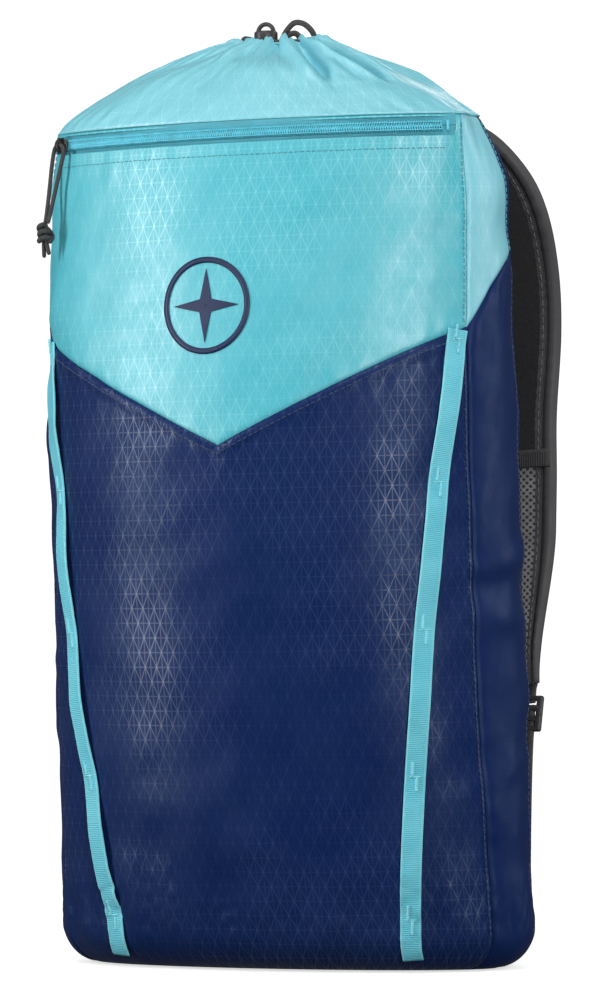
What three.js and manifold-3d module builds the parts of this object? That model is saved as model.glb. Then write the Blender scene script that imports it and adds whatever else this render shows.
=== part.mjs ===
// Drawstring daypack of the stuff-sack kind: a soft two-colour body with a gathered collar, a zipped
// front pocket, two daisy chains, a haul loop and two shoulder straps.
// Millimetres, +Z up, front faces -Y, origin at the middle of the base, on the surface it stands on.

import * as THREE from "three";
import { mergeVertices } from "three/addons/utils/BufferGeometryUtils.js";
import Module from "manifold-3d";

const wasm = await Module();
wasm.setup();

// ---- Driving dimensions -------------------------------------------------------------------------

const GAP = 0.3; // clearance between pieces that touch on the real object
const CLOTH = 1.2; // thickness that stands for the coated cloth
const SEAM_Z = 406; // seam between the body and the gathered collar
const MOUTH_Z = 447; // top of the gathered collar
const BASE_RADIUS = 18; // rounding where the walls turn under

// The body's plan is two half superellipses. Each list is the size at z = 0, 200 and 400.
const HALF_WIDTH = [122.7, 121.1, 119.1];
const FRONT_DEPTH = [42.3, 73.2, 53.7];
const BACK_DEPTH = [53.7, 49.8, 46];
const BACK_POWER = 2.3;

// Plan angles of the upright seams, from +X towards the back.
const FRONT_SEAM = -23;
const BACK_SEAM = 8;

// Where the teal upper cloth meets the navy lower cloth.
const APEX_Z = 251; // lowest point of the V, at the middle of the front
const SHOULDER_Z = 304; // where the V reaches the upright seam
const SIDE_TOP_Z = 338; // where it meets the back seam

// The sides lean in below the collar's seam: from and to are angles away from the front.
const SHOULDER = { slope: 14, from: [61, 84], to: [118, 150], rise: [366, 414] };

const MOUTH = { x: 3, halfWidth: 27.5, halfDepth: 17 };
const DRAWCORD = 2.8;
const PULL_CORD = 2.1;
const LOCK = { topZ: 452.4, holeZ: 445.4, hole: 3.5, travel: 3 };

// The pocket's zip runs along one round arc, so that its slider can follow it exactly.
const ZIP_Z = 400;
const ZIP_RADIUS = 213;
const ZIP_CENTRE_Y = 159.3;
const ZIP_HALF_ANGLE = 29.2;
const SLIDER_ANGLE = -27.6;

const CHAIN = { width: 10, thickness: 1.2, bottomX: 76, topX: 107, topZ: 302 };
const BARTACK_Z = [26, 94, 163, 232, 299];

const STRAP = { width: 48, thickness: 9 };
const WEBBING = { width: 20, thickness: 1.8 };

const COLOURS = {
  teal: [0x8fd0dc, 0.45, 0],
  navy: [0x25376c, 0.5, 0],
  tealWebbing: [0x5fb6c4, 0.7, 0],
  charcoal: [0x3a3a3c, 0.8, 0],
  mesh: [0x2b2d30, 0.95, 0],
  plastic: [0x1c1c1e, 0.4, 0],
  cord: [0x4b4848, 0.85, 0],
  lining: [0x9aa0a8, 0.6, 0],
  steel: [0x8a8c90, 0.35, 1],
};

// ---- Small helpers ------------------------------------------------------------------------------

const part = new THREE.Group();
const rad = THREE.MathUtils.degToRad;
const mix = THREE.MathUtils.lerp;
const smoothstep = THREE.MathUtils.smoothstep;
const at = (x, y, z) => new THREE.Vector3(x, y, z);

// Turns a closed body's faces round where they point inwards.
function facingOut(geometry) {
  const plain = geometry.clone();
  for (const name of ["normal", "uv"]) plain.deleteAttribute(name);
  const merged = mergeVertices(plain, 1e-4);
  const p = merged.attributes.position;
  const index = [...merged.index.array];
  let volume = 0;
  const [a, b, c] = [at(0, 0, 0), at(0, 0, 0), at(0, 0, 0)];
  for (let i = 0; i < index.length; i += 3) {
    a.fromBufferAttribute(p, index[i]);
    b.fromBufferAttribute(p, index[i + 1]);
    c.fromBufferAttribute(p, index[i + 2]);
    volume += a.dot(b.cross(c));
  }
  if (volume < 0) {
    for (let i = 0; i < index.length; i += 3) [index[i], index[i + 1]] = [index[i + 1], index[i]];
  }
  merged.setIndex(index);
  merged.computeVertexNormals();
  return merged;
}

function add(name, geometry, look) {
  const [color, roughness, metalness] = COLOURS[look];
  const material = new THREE.MeshStandardMaterial({ color, roughness, metalness });
  const mesh = new THREE.Mesh(facingOut(geometry), material);
  mesh.name = name;
  part.add(mesh);
  return mesh;
}

// Quadratic through its values at z = 0, 200 and 400.
function sized([low, middle, high], z) {
  const s = z / 200;
  return (low * (s - 1) * (s - 2)) / 2 + middle * s * (2 - s) + (high * s * (s - 1)) / 2;
}

const signedPower = (value, power) => Math.sign(value) * Math.abs(value) ** power;

// A point of the body's plan at a height, drawn in by inset.
function section(degrees, z, inset = 0) {
  const c = Math.cos(rad(degrees));
  const s = Math.sin(rad(degrees));
  const power = s > 0 ? 2 / BACK_POWER : 1;
  const depth = sized(s > 0 ? BACK_DEPTH : FRONT_DEPTH, z) - inset;
  const half = sized(HALF_WIDTH, z) - inset;
  return at(half * signedPower(c, power), depth * signedPower(s, power), z);
}

// The body's outer surface, with its rounded lower edge and its sloping shoulders.
function body(degrees, z) {
  const under = Math.max(0, BASE_RADIUS - z);
  const away = Math.abs(((degrees + 630) % 360) - 180);
  const beside = smoothstep(away, ...SHOULDER.from) * (1 - smoothstep(away, ...SHOULDER.to));
  const lean = SHOULDER.slope * beside * smoothstep(z, ...SHOULDER.rise) ** 1.4;
  return section(degrees, z, BASE_RADIUS - Math.sqrt(BASE_RADIUS ** 2 - under ** 2) + lean);
}

// Height of the gathered collar for the share of the way from the seam (0) to the mouth (1).
const COLLAR_RISE = new THREE.SplineCurve([
  new THREE.Vector2(0, 0),
  new THREE.Vector2(0.14, 0.2),
  new THREE.Vector2(0.4, 0.54),
  new THREE.Vector2(0.72, 0.82),
  new THREE.Vector2(1, 1),
]);

function collar(degrees, share) {
  const seam = body(degrees, SEAM_Z);
  const c = Math.cos(rad(degrees));
  const s = Math.sin(rad(degrees));
  const point = COLLAR_RISE.getPoint(share);
  return at(
    mix(seam.x, MOUTH.x + MOUTH.halfWidth * c, point.x),
    mix(seam.y, MOUTH.halfDepth * s, point.x),
    mix(SEAM_Z + CLOTH, MOUTH_Z, point.y),
  );
}

function normalOf(surface, u, v) {
  const du = surface(u + 0.4, v).sub(surface(u - 0.4, v));
  const step = surface === collar ? 0.003 : 0.3;
  const dv = surface(u, v + step).sub(surface(u, v - step));
  return du.cross(dv).normalize();
}

function meshOf(points, faces) {
  const geometry = new THREE.BufferGeometry();
  geometry.setAttribute("position", new THREE.Float32BufferAttribute(points.flatMap((p) => p.toArray()), 3));
  geometry.setIndex(faces.flat());
  geometry.computeVertexNormals();
  return geometry;
}

// A closed body lofted through rings of equally many points, each counterclockwise seen from the far end.
function loft(rings, joined = false) {
  const count = rings[0].length;
  const faces = [];
  const spans = joined ? rings.length : rings.length - 1;
  for (let i = 0; i < spans; i++) {
    const near = i * count;
    const far = ((i + 1) % rings.length) * count;
    for (let j = 0; j < count; j++) {
      const k = (j + 1) % count;
      faces.push([near + j, near + k, far + k], [near + j, far + k, far + j]);
    }
  }
  const last = (rings.length - 1) * count;
  for (let j = 1; j < count - 1 && !joined; j++) {
    faces.push([0, j + 1, j], [last, last + j, last + j + 1]);
  }
  return meshOf(rings.flat(), faces);
}

// A shell that follows surface(u, v) for u over a span and v between two edges, set off along its normal.
// Rows crowd towards the low edge as crowd grows past 1.
function shell(surface, [u0, u1], low, high, columns, rows, thickness = CLOTH, lift = 0, crowd = 1) {
  const rings = [];
  for (let i = 0; i <= columns; i++) {
    const u = mix(u0, u1, i / columns);
    const outer = [];
    const inner = [];
    for (let j = 0; j <= rows; j++) {
      const v = mix(low(u), high(u), (j / rows) ** crowd);
      const normal = normalOf(surface, u, v);
      outer.push(surface(u, v).addScaledVector(normal, lift));
      inner.push(surface(u, v).addScaledVector(normal, lift - thickness));
    }
    rings.push([...inner, ...outer.reverse()]);
  }
  const full = Math.abs(u1 - u0) > 359;
  return stitched(full ? rings.slice(0, -1) : rings, rows + 1, full);
}

// Joins sections made of an inner and an outer row of points, and closes the two end faces as strips.
function stitched(rings, row, joined) {
  const count = rings[0].length;
  const geometry = loft(rings, true);
  if (joined) return geometry;
  const faces = [];
  const index = geometry.getIndex().array;
  const kept = (rings.length - 1) * count * 2 * 3;
  for (let i = 0; i < kept; i += 3) faces.push([index[i], index[i + 1], index[i + 2]]);
  const last = (rings.length - 1) * count;
  for (let j = 0; j < row - 1; j++) {
    const a = j;
    const b = j + 1;
    const c = count - 2 - j;
    const d = count - 1 - j;
    faces.push([a, c, b], [a, d, c], [last + a, last + b, last + c], [last + a, last + c, last + d]);
  }
  return meshOf(rings.flat(), faces);
}

// A flat band along a path: at each point it is given its side and its face direction.
function band(path, sides, faces, widths, thickness) {
  const rings = path.map((p, i) => {
    const w = sides[i].clone().multiplyScalar(widths[i] / 2);
    const t = faces[i].clone().multiplyScalar(thickness / 2);
    return [
      p.clone().sub(w).sub(t),
      p.clone().add(w).sub(t),
      p.clone().add(w).add(t),
      p.clone().sub(w).add(t),
    ];
  });
  return loft(rings);
}

// A round rod along a curve, as cords are made.
function rod(curve, diameter, steps, sides = 8) {
  const outline = new THREE.Shape();
  outline.absarc(0, 0, diameter / 2, 0, 2 * Math.PI);
  const options = { steps, curveSegments: sides / 2, extrudePath: curve };
  return new THREE.ExtrudeGeometry(outline, options);
}

// Part of a ring about the zip's upright axis, from one radius, height and angle to another.
function arcBlock(r0, r1, z0, z1, from, to, segments = 4) {
  const outline = new THREE.Shape();
  outline.absarc(0, ZIP_CENTRE_Y, r1, rad(from - 90), rad(to - 90), false);
  outline.absarc(0, ZIP_CENTRE_Y, r0, rad(to - 90), rad(from - 90), true);
  const options = { depth: z1 - z0, bevelEnabled: false, curveSegments: segments };
  return new THREE.ExtrudeGeometry(outline, options).translate(0, 0, z0);
}

const onArc = (degrees, radius, z) =>
  at(radius * Math.sin(rad(degrees)), ZIP_CENTRE_Y - radius * Math.cos(rad(degrees)), z);

function solid(geometry) {
  const merged = facingOut(geometry);
  const vertProperties = merged.attributes.position.array;
  const triVerts = new Uint32Array(merged.index.array);
  return new wasm.Manifold(new wasm.Mesh({ numProp: 3, vertProperties, triVerts }));
}

function geometryOf(made) {
  const mesh = made.getMesh();
  const geometry = new THREE.BufferGeometry();
  geometry.setAttribute("position", new THREE.BufferAttribute(new Float32Array(mesh.vertProperties), 3));
  geometry.setIndex([...mesh.triVerts]);
  geometry.computeVertexNormals();
  return geometry;
}

const cut = (from, ...tools) => geometryOf(tools.reduce((left, tool) => left.subtract(solid(tool)), solid(from)));
const joined = (...pieces) => geometryOf(pieces.map(solid).reduce((sum, piece) => sum.add(piece)));

function box(width, depth, height, x, y, z) {
  return new THREE.BoxGeometry(width, depth, height).translate(x, y, z);
}

function cylinder(radius, height, x, y, z, sides = 20) {
  return new THREE.CylinderGeometry(radius, radius, height, sides).rotateX(Math.PI / 2).translate(x, y, z);
}

// ---- Body cloth ---------------------------------------------------------------------------------

// Height of the seam between the two colours at a plan angle, the same on both sides.
function colourSeam(degrees) {
  const folded = Math.abs(((degrees + 270) % 360) - 180) - 90; // -90 at the front, +90 at the back
  if (folded < FRONT_SEAM) return mix(APEX_Z, SHOULDER_Z, Math.cos(rad(folded)) / Math.cos(rad(FRONT_SEAM)));
  const share = (folded - FRONT_SEAM) / (BACK_SEAM - FRONT_SEAM);
  return mix(SHOULDER_Z, SIDE_TOP_Z, Math.sin((share * Math.PI) / 2));
}

const bottomEdge = () => 0.4;
const topEdge = () => SEAM_Z - GAP;
const belowSeam = (u) => colourSeam(u) - GAP / 2;
const aboveSeam = (u) => colourSeam(u) + GAP / 2;
const EDGE = 0.1; // half the gap between upright seams, in plan degrees

function bodyCloth() {
  const front = [-180 - FRONT_SEAM + EDGE, FRONT_SEAM - EDGE];
  const right = [FRONT_SEAM + EDGE, BACK_SEAM - EDGE];
  const left = [180 - BACK_SEAM + EDGE, 180 - FRONT_SEAM - EDGE];
  const back = [BACK_SEAM + EDGE, 180 - BACK_SEAM - EDGE];
  const slot = arcBlock(ZIP_RADIUS - 12, ZIP_RADIUS + 12, ZIP_Z - 4.6, ZIP_Z + 4.6, -29.8, 29.8, 12);
  add("front_upper_panel", cut(shell(body, front, aboveSeam, topEdge, 28, 5), slot), "teal");
  add("front_lower_panel", shell(body, front, bottomEdge, belowSeam, 24, 9, CLOTH, 0, 2), "navy");
  for (const [side, span] of [["right", right], ["left", left]]) {
    add(side + "_upper_side_panel", shell(body, span, aboveSeam, topEdge, 5, 4), "teal");
    add(side + "_lower_side_panel", shell(body, span, bottomEdge, belowSeam, 5, 9, CLOTH, 0, 2), "navy");
  }
  add("back_panel", shell(body, back, bottomEdge, topEdge, 20, 9, CLOTH, 0, 2), "navy");
}

function basePanel() {
  const outline = new THREE.Shape();
  const inset = 15.2;
  for (let i = 0; i < 48; i++) {
    const p = section(i * 7.5, 0, inset);
    if (i === 0) outline.moveTo(p.x, p.y);
    else outline.lineTo(p.x, p.y);
  }
  add("base_panel", new THREE.ExtrudeGeometry(outline, { depth: CLOTH, bevelEnabled: false }), "navy");
}

// The pocket's inner wall hangs plumb from the zip and comes forward to the seam at its foot.
function pocketLining() {
  const surface = (degrees, z) => {
    const outer = section(degrees, z, CLOTH + 1.5);
    const plumb = section(degrees, ZIP_Z - 10, 13);
    const share = smoothstep(z, colourSeam(degrees), colourSeam(degrees) + 40);
    return at(mix(outer.x, plumb.x, share), mix(outer.y, plumb.y, share), z);
  };
  const foot = (u) => colourSeam(u) + 4;
  const head = () => ZIP_Z - 10;
  add("pocket_lining", shell(surface, [-152, -28], foot, head, 16, 5, 0.8), "lining");
}

// ---- Collar, drawcord and cord lock ------------------------------------------------------------

function collarCloth() {
  add("collar", shell(collar, [0, 360], () => 0.006, () => 0.985, 32, 6), "teal");
}

// The hem is a channel round the mouth, open inwards, with the drawcord lying in it.
function hemAndCord() {
  const r = MOUTH.halfWidth;
  const squash = MOUTH.halfDepth / MOUTH.halfWidth;
  const z = MOUTH_Z - 1.2;
  const profile = [
    [r - 5.6, z - 2.6],
    [r - 1, z - 2.6],
    [r - 1, z + 2.6],
    [r - 5.6, z + 2.6],
    [r - 5.6, z + 1.8],
    [r - 1.8, z + 1.8],
    [r - 1.8, z - 1.8],
    [r - 5.6, z - 1.8],
    [r - 5.6, z - 2.6],
  ].map(([x, y]) => new THREE.Vector2(x, y));
  const lathe = new THREE.LatheGeometry(profile, 28).rotateX(Math.PI / 2).scale(1, squash, 1);
  add("drawcord_channel", lathe.translate(MOUTH.x, 0, 0), "teal");
  const round = new THREE.Shape();
  round.absarc(r - 3.9, z, 1.2, 0, 2 * Math.PI);
  const cordProfile = round.getPoints(3).slice(0, -1);
  cordProfile.push(cordProfile[0]);
  const ring = new THREE.LatheGeometry(cordProfile, 28).rotateX(Math.PI / 2).scale(1, squash, 1);
  add("drawcord_ring", ring.translate(MOUTH.x, 0, 0), "cord");
}

// The drawcord's free loop: out of the hem at the left, through the lock, over the right side and back.
const LOOP_ROUTE = [
  at(-15.4, -1.6, 441),
  at(-15.6, -1.6, 445),
  at(-14.4, -1.6, 448.8),
  at(-12, -1.6, 448.6),
  at(-9.6, -1.6, 445.9),
  at(-4, -1.6, 445.4),
  at(2.6, -1.6, 445.6),
  at(6, -2.3, 447.4),
  at(9.6, -3.6, 451.8),
  at(14, -4.4, 455),
  at(18.6, -4, 454.4),
  at(22, -2.4, 451),
  at(22.8, 0.2, 446.6),
  at(21, 2.6, 443.4),
  at(17.2, 4, 443.4),
  at(14, 4.2, 447),
  at(11, 3.6, 450.6),
  at(7.6, 2.6, 450),
  at(4.8, 2, 446.6),
  at(1.6, 1.6, 445.4),
  at(-4, 1.6, 445.4),
  at(-9.6, 1.6, 445.9),
  at(-12, 1.6, 448.6),
  at(-14.4, 1.6, 448.8),
  at(-15.6, 1.6, 445),
  at(-15.4, 1.6, 441),
];

// The lock hangs button down in the mouth: a barrel with a ring on top, a sprung button from below.
function cordLock() {
  const x = -3.4;
  const hole = LOCK.holeZ;
  const travel = LOCK.travel;
  add("drawcord_loop", rod(new THREE.CatmullRomCurve3(LOOP_ROUTE), DRAWCORD, 64), "cord");
  const cordHole = box(20, 6.4, LOCK.hole, x, 0, hole);
  const well = cylinder(4.6, 17, x, 0, LOCK.topZ - 1 - 8.5);
  const arch = rod(new THREE.CatmullRomCurve3(archPoints(x, LOCK.topZ - 1, 4.3)), 2.2, 14);
  const barrel = joined(cylinder(5.7, 16, x, 0, LOCK.topZ - 8, 24), arch);
  add("cord_lock_barrel", cut(barrel, well, cordHole), "plastic");
  const slot = box(20, 6.4, LOCK.hole + travel, x, 0, hole - travel / 2);
  const head = cylinder(5.2, 2, x, 0, LOCK.topZ - 22);
  const stem = cylinder(4.3, 17.6, x, 0, LOCK.topZ - 13.15);
  add("cord_lock_button", cut(joined(stem, head), slot), "plastic");
  add("cord_lock_spring", rod(new Helix(x, LOCK.topZ - 3.7, LOCK.topZ - 1.6, 2.2, 2), 0.5, 28, 6), "steel");
}

function archPoints(x, z, radius) {
  const turns = Array.from({ length: 9 }, (_, i) => (Math.PI * i) / 8);
  return turns.map((turn) => at(x - radius * Math.cos(turn), 0, z + radius * Math.sin(turn)));
}

class Helix extends THREE.Curve {
  constructor(x, z0, z1, radius, turns) {
    super();
    Object.assign(this, { x, z0, z1, radius, turns });
  }

  getPoint(t) {
    const angle = 2 * Math.PI * this.turns * t;
    const [c, s] = [Math.cos(angle), Math.sin(angle)];
    return at(this.x + this.radius * c, this.radius * s, mix(this.z0, this.z1, t));
  }
}

// ---- Pocket zip --------------------------------------------------------------------------------

function zip() {
  const r = ZIP_RADIUS;
  const half = ZIP_HALF_ANGLE;
  add("zip_tape_upper", arcBlock(r - 2.3, r - 1.5, ZIP_Z + 0.8, ZIP_Z + 4.2, -half, half, 12), "teal");
  add("zip_tape_lower", arcBlock(r - 2.3, r - 1.5, ZIP_Z - 8, ZIP_Z - 0.8, -half, half, 12), "teal");
  for (const [name, side] of [["upper", 1], ["lower", -1]]) {
    const path = new THREE.EllipseCurve(0, ZIP_CENTRE_Y, r, r, rad(-half + 1 - 90), rad(half - 1 - 90));
    const curve = new THREE.CatmullRomCurve3(
      path.getPoints(24).map((p) => at(p.x, p.y, ZIP_Z + side * 1.9)),
    );
    add("zip_coil_" + name, rod(curve, 2, 40, 6), "teal");
  }
  const stop = (from, to) => arcBlock(r - 1.2, r + 1.2, ZIP_Z - 2.6, ZIP_Z + 2.6, from, to, 1);
  add("zip_top_stop", stop(-29.2, -28.85), "teal");
  add("zip_bottom_stop", stop(28.6, 29.1), "teal");
}

function zipSlider() {
  const r = ZIP_RADIUS;
  const [from, to] = [SLIDER_ANGLE - 1.1, SLIDER_ANGLE + 1.1];
  const front = arcBlock(r + 1.4, r + 2.5, ZIP_Z - 4.3, ZIP_Z + 4.3, from, to);
  const rear = arcBlock(r - 3.7, r - 2.6, ZIP_Z - 4, ZIP_Z + 4, from, to);
  const post = arcBlock(r - 3, r + 1.8, ZIP_Z - 0.4, ZIP_Z + 0.4, from + 0.2, from + 0.9);
  const flange = (side) =>
    arcBlock(r - 1, r + 2, ZIP_Z + side * 3.8 - 0.45, ZIP_Z + side * 3.8 + 0.45, from, to);
  add("zip_slider", joined(front, rear, post, flange(1), flange(-1)), "plastic");
  const outline = new THREE.Shape();
  outline.absarc(0, 0, 4, -Math.PI / 2, Math.PI / 2, false);
  outline.absarc(0, 0, 2.9, Math.PI / 2, -Math.PI / 2, true);
  const arch = new THREE.ExtrudeGeometry(outline, { depth: 1.8, bevelEnabled: false, curveSegments: 10 });
  arch.translate(0, 0, -0.9).rotateX(Math.PI / 2).rotateZ(rad(SLIDER_ANGLE - 90));
  const foot = onArc(SLIDER_ANGLE, r + 2.8, ZIP_Z);
  arch.translate(foot.x, foot.y, foot.z);
  add("zip_slider_bridge", arch, "plastic");
}

// The pull is one loop of cord through the slider's bridge, its two ends tied in a knot.
function zipPull() {
  const radius = ZIP_RADIUS + 4.1;
  const eye = onArc(SLIDER_ANGLE, radius, ZIP_Z);
  const along = at(Math.cos(rad(SLIDER_ANGLE)), Math.sin(rad(SLIDER_ANGLE)), 0);
  const out = at(Math.sin(rad(SLIDER_ANGLE)), -Math.cos(rad(SLIDER_ANGLE)), 0);
  const place = ([side, away, z]) => eye.clone().addScaledVector(along, side).addScaledVector(out, away).setZ(z);
  const route = [
    [-1.2, 8.2, 362.8],
    [-1.5, 7.3, 366],
    [-2.2, 5.6, 373],
    [-3.1, 3.7, 381],
    [-4, 1.7, 390],
    [-4.2, 0.5, 395.4],
    [-3.4, 0, 398.8],
    [-1.4, 0, 400],
    [1.4, 0, 400],
    [3.4, 0, 398.8],
    [4.2, 0.5, 395.4],
    [3.7, 1.7, 390],
    [2.7, 3.7, 381],
    [2, 5.6, 373],
    [1.4, 7.3, 366],
    [1.2, 8.2, 362.8],
  ].map(place);
  add("zip_pull_cord", rod(new THREE.CatmullRomCurve3(route), PULL_CORD, 40), "cord");
  const knot = new THREE.SphereGeometry(4.6, 14, 10).scale(1, 1, 1.25);
  const middle = place([0, 9.6, 356.2]);
  knot.translate(middle.x, middle.y, middle.z);
  add("zip_pull_knot", knot, "cord");
}

// ---- Webbing on the body -----------------------------------------------------------------------

// A webbing strip on the front, tacked at intervals and slack between the tacks.
function daisyChain(name, side) {
  const rows = 32;
  const [path, sides, faces, widths] = [[], [], [], []];
  const angleAt = (z) => {
    const x = mix(CHAIN.bottomX, CHAIN.topX, z / CHAIN.topZ);
    const share = x / (body(0, z).x);
    return -Math.acos(Math.min(1, share)) * (180 / Math.PI);
  };
  for (let i = 0; i <= rows; i++) {
    const z = mix(9, CHAIN.topZ, i / rows);
    const degrees = side > 0 ? angleAt(z) : -180 - angleAt(z);
    const normal = normalOf(body, degrees, z);
    const next = side > 0 ? angleAt(z + 1) : -180 - angleAt(z + 1);
    const run = body(next, z + 1).sub(body(degrees, z)).normalize();
    path.push(body(degrees, z).addScaledVector(normal, slack(z) + 0.8 + CHAIN.thickness / 2));
    sides.push(run.clone().cross(normal).normalize());
    faces.push(normal);
    widths.push(CHAIN.width);
  }
  add(name, band(path, sides, faces, widths, CHAIN.thickness), "tealWebbing");
}

// How far the webbing stands off between two tacks.
function slack(z) {
  const above = BARTACK_Z.findIndex((tack) => tack > z);
  if (above <= 0) return 0;
  const share = (z - BARTACK_Z[above - 1]) / (BARTACK_Z[above] - BARTACK_Z[above - 1]);
  return 1.2 * Math.sin(Math.PI * share) ** 2;
}

// The haul loop stands up from the back of the collar seam.
function haulLoop() {
  const y = BACK_DEPTH[2] + 6;
  const route = [
    [-42, 392],
    [-43, 404],
    [-42, 418],
    [-37, 427],
    [-26, 431],
    [-10, 432.4],
    [10, 432.4],
    [26, 431],
    [37, 427],
    [42, 418],
    [43, 404],
    [42, 392],
  ].map(([x, z]) => at(x, y, z));
  const curve = new THREE.CatmullRomCurve3(route);
  const steps = 36;
  const path = curve.getPoints(steps);
  const across = path.map(() => at(0, 1, 0));
  const faces = path.map((_, i) => curve.getTangent(i / steps).cross(at(0, 1, 0)).normalize());
  const geometry = band(path, across, faces, path.map(() => 6), 2.4);
  add("haul_loop", geometry, "charcoal");
  const [foot, head] = [() => 387, () => 402];
  add("harness_yoke", shell(body, [38, 142], foot, head, 18, 3, 2, 2 * GAP + 2), "charcoal");
}

// ---- Shoulder straps ---------------------------------------------------------------------------

// The strap's middle line on the right side: out from the back seam, down in a bow, in to the base.
const STRAP_ROUTE = [
  [69, 52.8, 397],
  [79, 60.5, 386],
  [88, 71, 363],
  [89.5, 81, 336],
  [88.5, 85.5, 305],
  [85.5, 84.5, 264],
  [86.5, 80, 232],
  [88, 73, 196],
  [92, 63.5, 158],
  [95.5, 56, 132],
];

// A band that keeps its width along X while it follows a route in depth and height.
function levelBand(route, side, widths, thickness) {
  const curve = new THREE.CatmullRomCurve3(route.map(([x, y, z]) => at(side * x, y, z)));
  const steps = widths.length - 1;
  const path = curve.getPoints(steps);
  const sides = path.map(() => at(1, 0, 0));
  const faces = path.map((_, i) => at(1, 0, 0).cross(curve.getTangent(i / steps)).normalize());
  return band(path, sides, faces, widths, thickness);
}

function shoulderStrap(name, side) {
  const rows = 26;
  const shape = (share) => (1 - 0.17 * (1 - smoothstep(share, 0, 0.14))) * (1 - 0.45 * smoothstep(share, 0.72, 1));
  const widths = Array.from({ length: rows + 1 }, (_, i) => STRAP.width * shape(i / rows));
  add(name + "_strap_pad", levelBand(STRAP_ROUTE, side, widths, STRAP.thickness), "mesh");
}

// Ladder lock at the strap's foot, the adjuster webbing down to the base seam and its tab there.
function strapFoot(name, side) {
  const [x, y, z] = STRAP_ROUTE.at(-1);
  const centre = at(side * (x + 1.9), y - 3.6, z - 13.5);
  const tilt = Math.atan2(8, 25);
  const frame = new THREE.Shape();
  frame.moveTo(-14, -9).lineTo(14, -9).lineTo(14, 9).lineTo(-14, 9).closePath();
  for (const offset of [-5.2, 0, 5.2]) {
    const slot = new THREE.Path();
    slot.moveTo(-11, offset - 1.4).lineTo(-11, offset + 1.4).lineTo(11, offset + 1.4).lineTo(11, offset - 1.4);
    slot.closePath();
    frame.holes.push(slot);
  }
  const plate = new THREE.ExtrudeGeometry(frame, { depth: 3, bevelEnabled: false }).translate(0, 0, -1.5);
  plate.rotateX(Math.PI / 2 - tilt).translate(centre.x, centre.y, centre.z);
  add(name + "_ladder_lock", plate, "plastic");
  const route = [
    [x + 2.6, y - 7.6, z - 25],
    [x + 2.6, y - 10.4, z - 42],
    [x + 2.2, y - 12.2, z - 66],
    [x + 1.5, y - 12.4, z - 88],
  ];
  const webbing = levelBand(route, side, Array(13).fill(WEBBING.width), WEBBING.thickness);
  add(name + "_adjuster_webbing", webbing, "charcoal");
}

// ---- The whole object --------------------------------------------------------------------------

bodyCloth();
basePanel();
pocketLining();
collarCloth();
hemAndCord();
cordLock();
zip();
zipSlider();
zipPull();
daisyChain("right_daisy_chain", 1);
daisyChain("left_daisy_chain", -1);
haulLoop();
for (const [name, side] of [["right", 1], ["left", -1]]) {
  shoulderStrap(name, side);
  strapFoot(name, side);
}

export default part;
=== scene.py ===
"""Drawstring daypack: its cloth, zip, cords, webbing and straps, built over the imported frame."""

import math

import bpy
import numpy as np
from bpy.props import FloatProperty, FloatVectorProperty, IntProperty, PointerProperty
from mathutils import Matrix, Vector


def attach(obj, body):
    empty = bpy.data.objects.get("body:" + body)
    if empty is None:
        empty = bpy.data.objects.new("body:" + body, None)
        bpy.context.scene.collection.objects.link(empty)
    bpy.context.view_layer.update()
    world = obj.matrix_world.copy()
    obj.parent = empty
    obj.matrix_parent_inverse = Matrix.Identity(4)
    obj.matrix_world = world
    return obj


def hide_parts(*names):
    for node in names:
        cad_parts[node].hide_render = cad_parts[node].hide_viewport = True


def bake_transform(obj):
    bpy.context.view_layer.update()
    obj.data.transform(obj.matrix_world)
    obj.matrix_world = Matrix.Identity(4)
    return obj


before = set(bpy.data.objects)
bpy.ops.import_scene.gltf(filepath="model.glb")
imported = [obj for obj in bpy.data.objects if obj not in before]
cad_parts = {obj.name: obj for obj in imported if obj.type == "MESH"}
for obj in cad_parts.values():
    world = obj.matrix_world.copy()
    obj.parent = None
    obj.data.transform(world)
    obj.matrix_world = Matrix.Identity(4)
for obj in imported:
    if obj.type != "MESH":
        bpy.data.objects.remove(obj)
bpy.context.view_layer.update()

bl_info = {
    "name": "Drawstring Daypack",
    "version": (1, 0, 0),
    "blender": (4, 5, 0),
    "location": "3D View > Sidebar > Daypack",
    "description": "Builds a drawstring daypack of coated ripstop cloth with its zip, cords, webbing and straps",
    "category": "Add Mesh",
}

MM = 0.001

# Shape of the filled sack, in millimetres. Each list is the size at z = 0, 200 and 400.
SEAM_Z = 406
MOUTH_Z = 447
BASE_RADIUS = 18
HALF_WIDTH = (122.7, 121.1, 119.1)
FRONT_DEPTH = (42.3, 73.2, 53.7)
BACK_DEPTH = (53.7, 49.8, 46)
BACK_POWER = 2.3
FRONT_SEAM = -23
BACK_SEAM = 8
APEX_Z = 251
SHOULDER_Z = 304
SIDE_TOP_Z = 338
SHOULDER_SLOPE = 14
MOUTH_X = 3
MOUTH_HALF_WIDTH = 27.5
MOUTH_HALF_DEPTH = 17

ZIP_Z = 400
ZIP_RADIUS = 213
ZIP_CENTRE_Y = 159.3
SLOT_HALF_ANGLE = 29.8
SLIDER_ANGLE = -27.6
SLIDER_RADIUS = 217.1
TEETH_HALF_ANGLE = 28.1

LOCK_X = -3.4
SIDES = (("right", 1), ("left", -1))
HEM_TURN = (
    (1.0, 448.1), (2.3, 448.7), (3.6, 448.5), (4.8, 447.6), (5.5, 446.2),
    (5.5, 444.6), (4.6, 443.2), (3.2, 442.6), (1.6, 442.9),
)
COLLAR_CREASES = ((305, -7, 5.5, 0.34), (321, 4, 6.5, 0.3), (334, 8, 2.6, 0.45), (262, 2, 2.2, 0.6))
STRAP_SPAN = 48
STRAP_TAIL = ((96.2, 57.9, 129.0), (97.0, 55.1, 125.6), (97.3, 53.8, 122.9))

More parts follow.
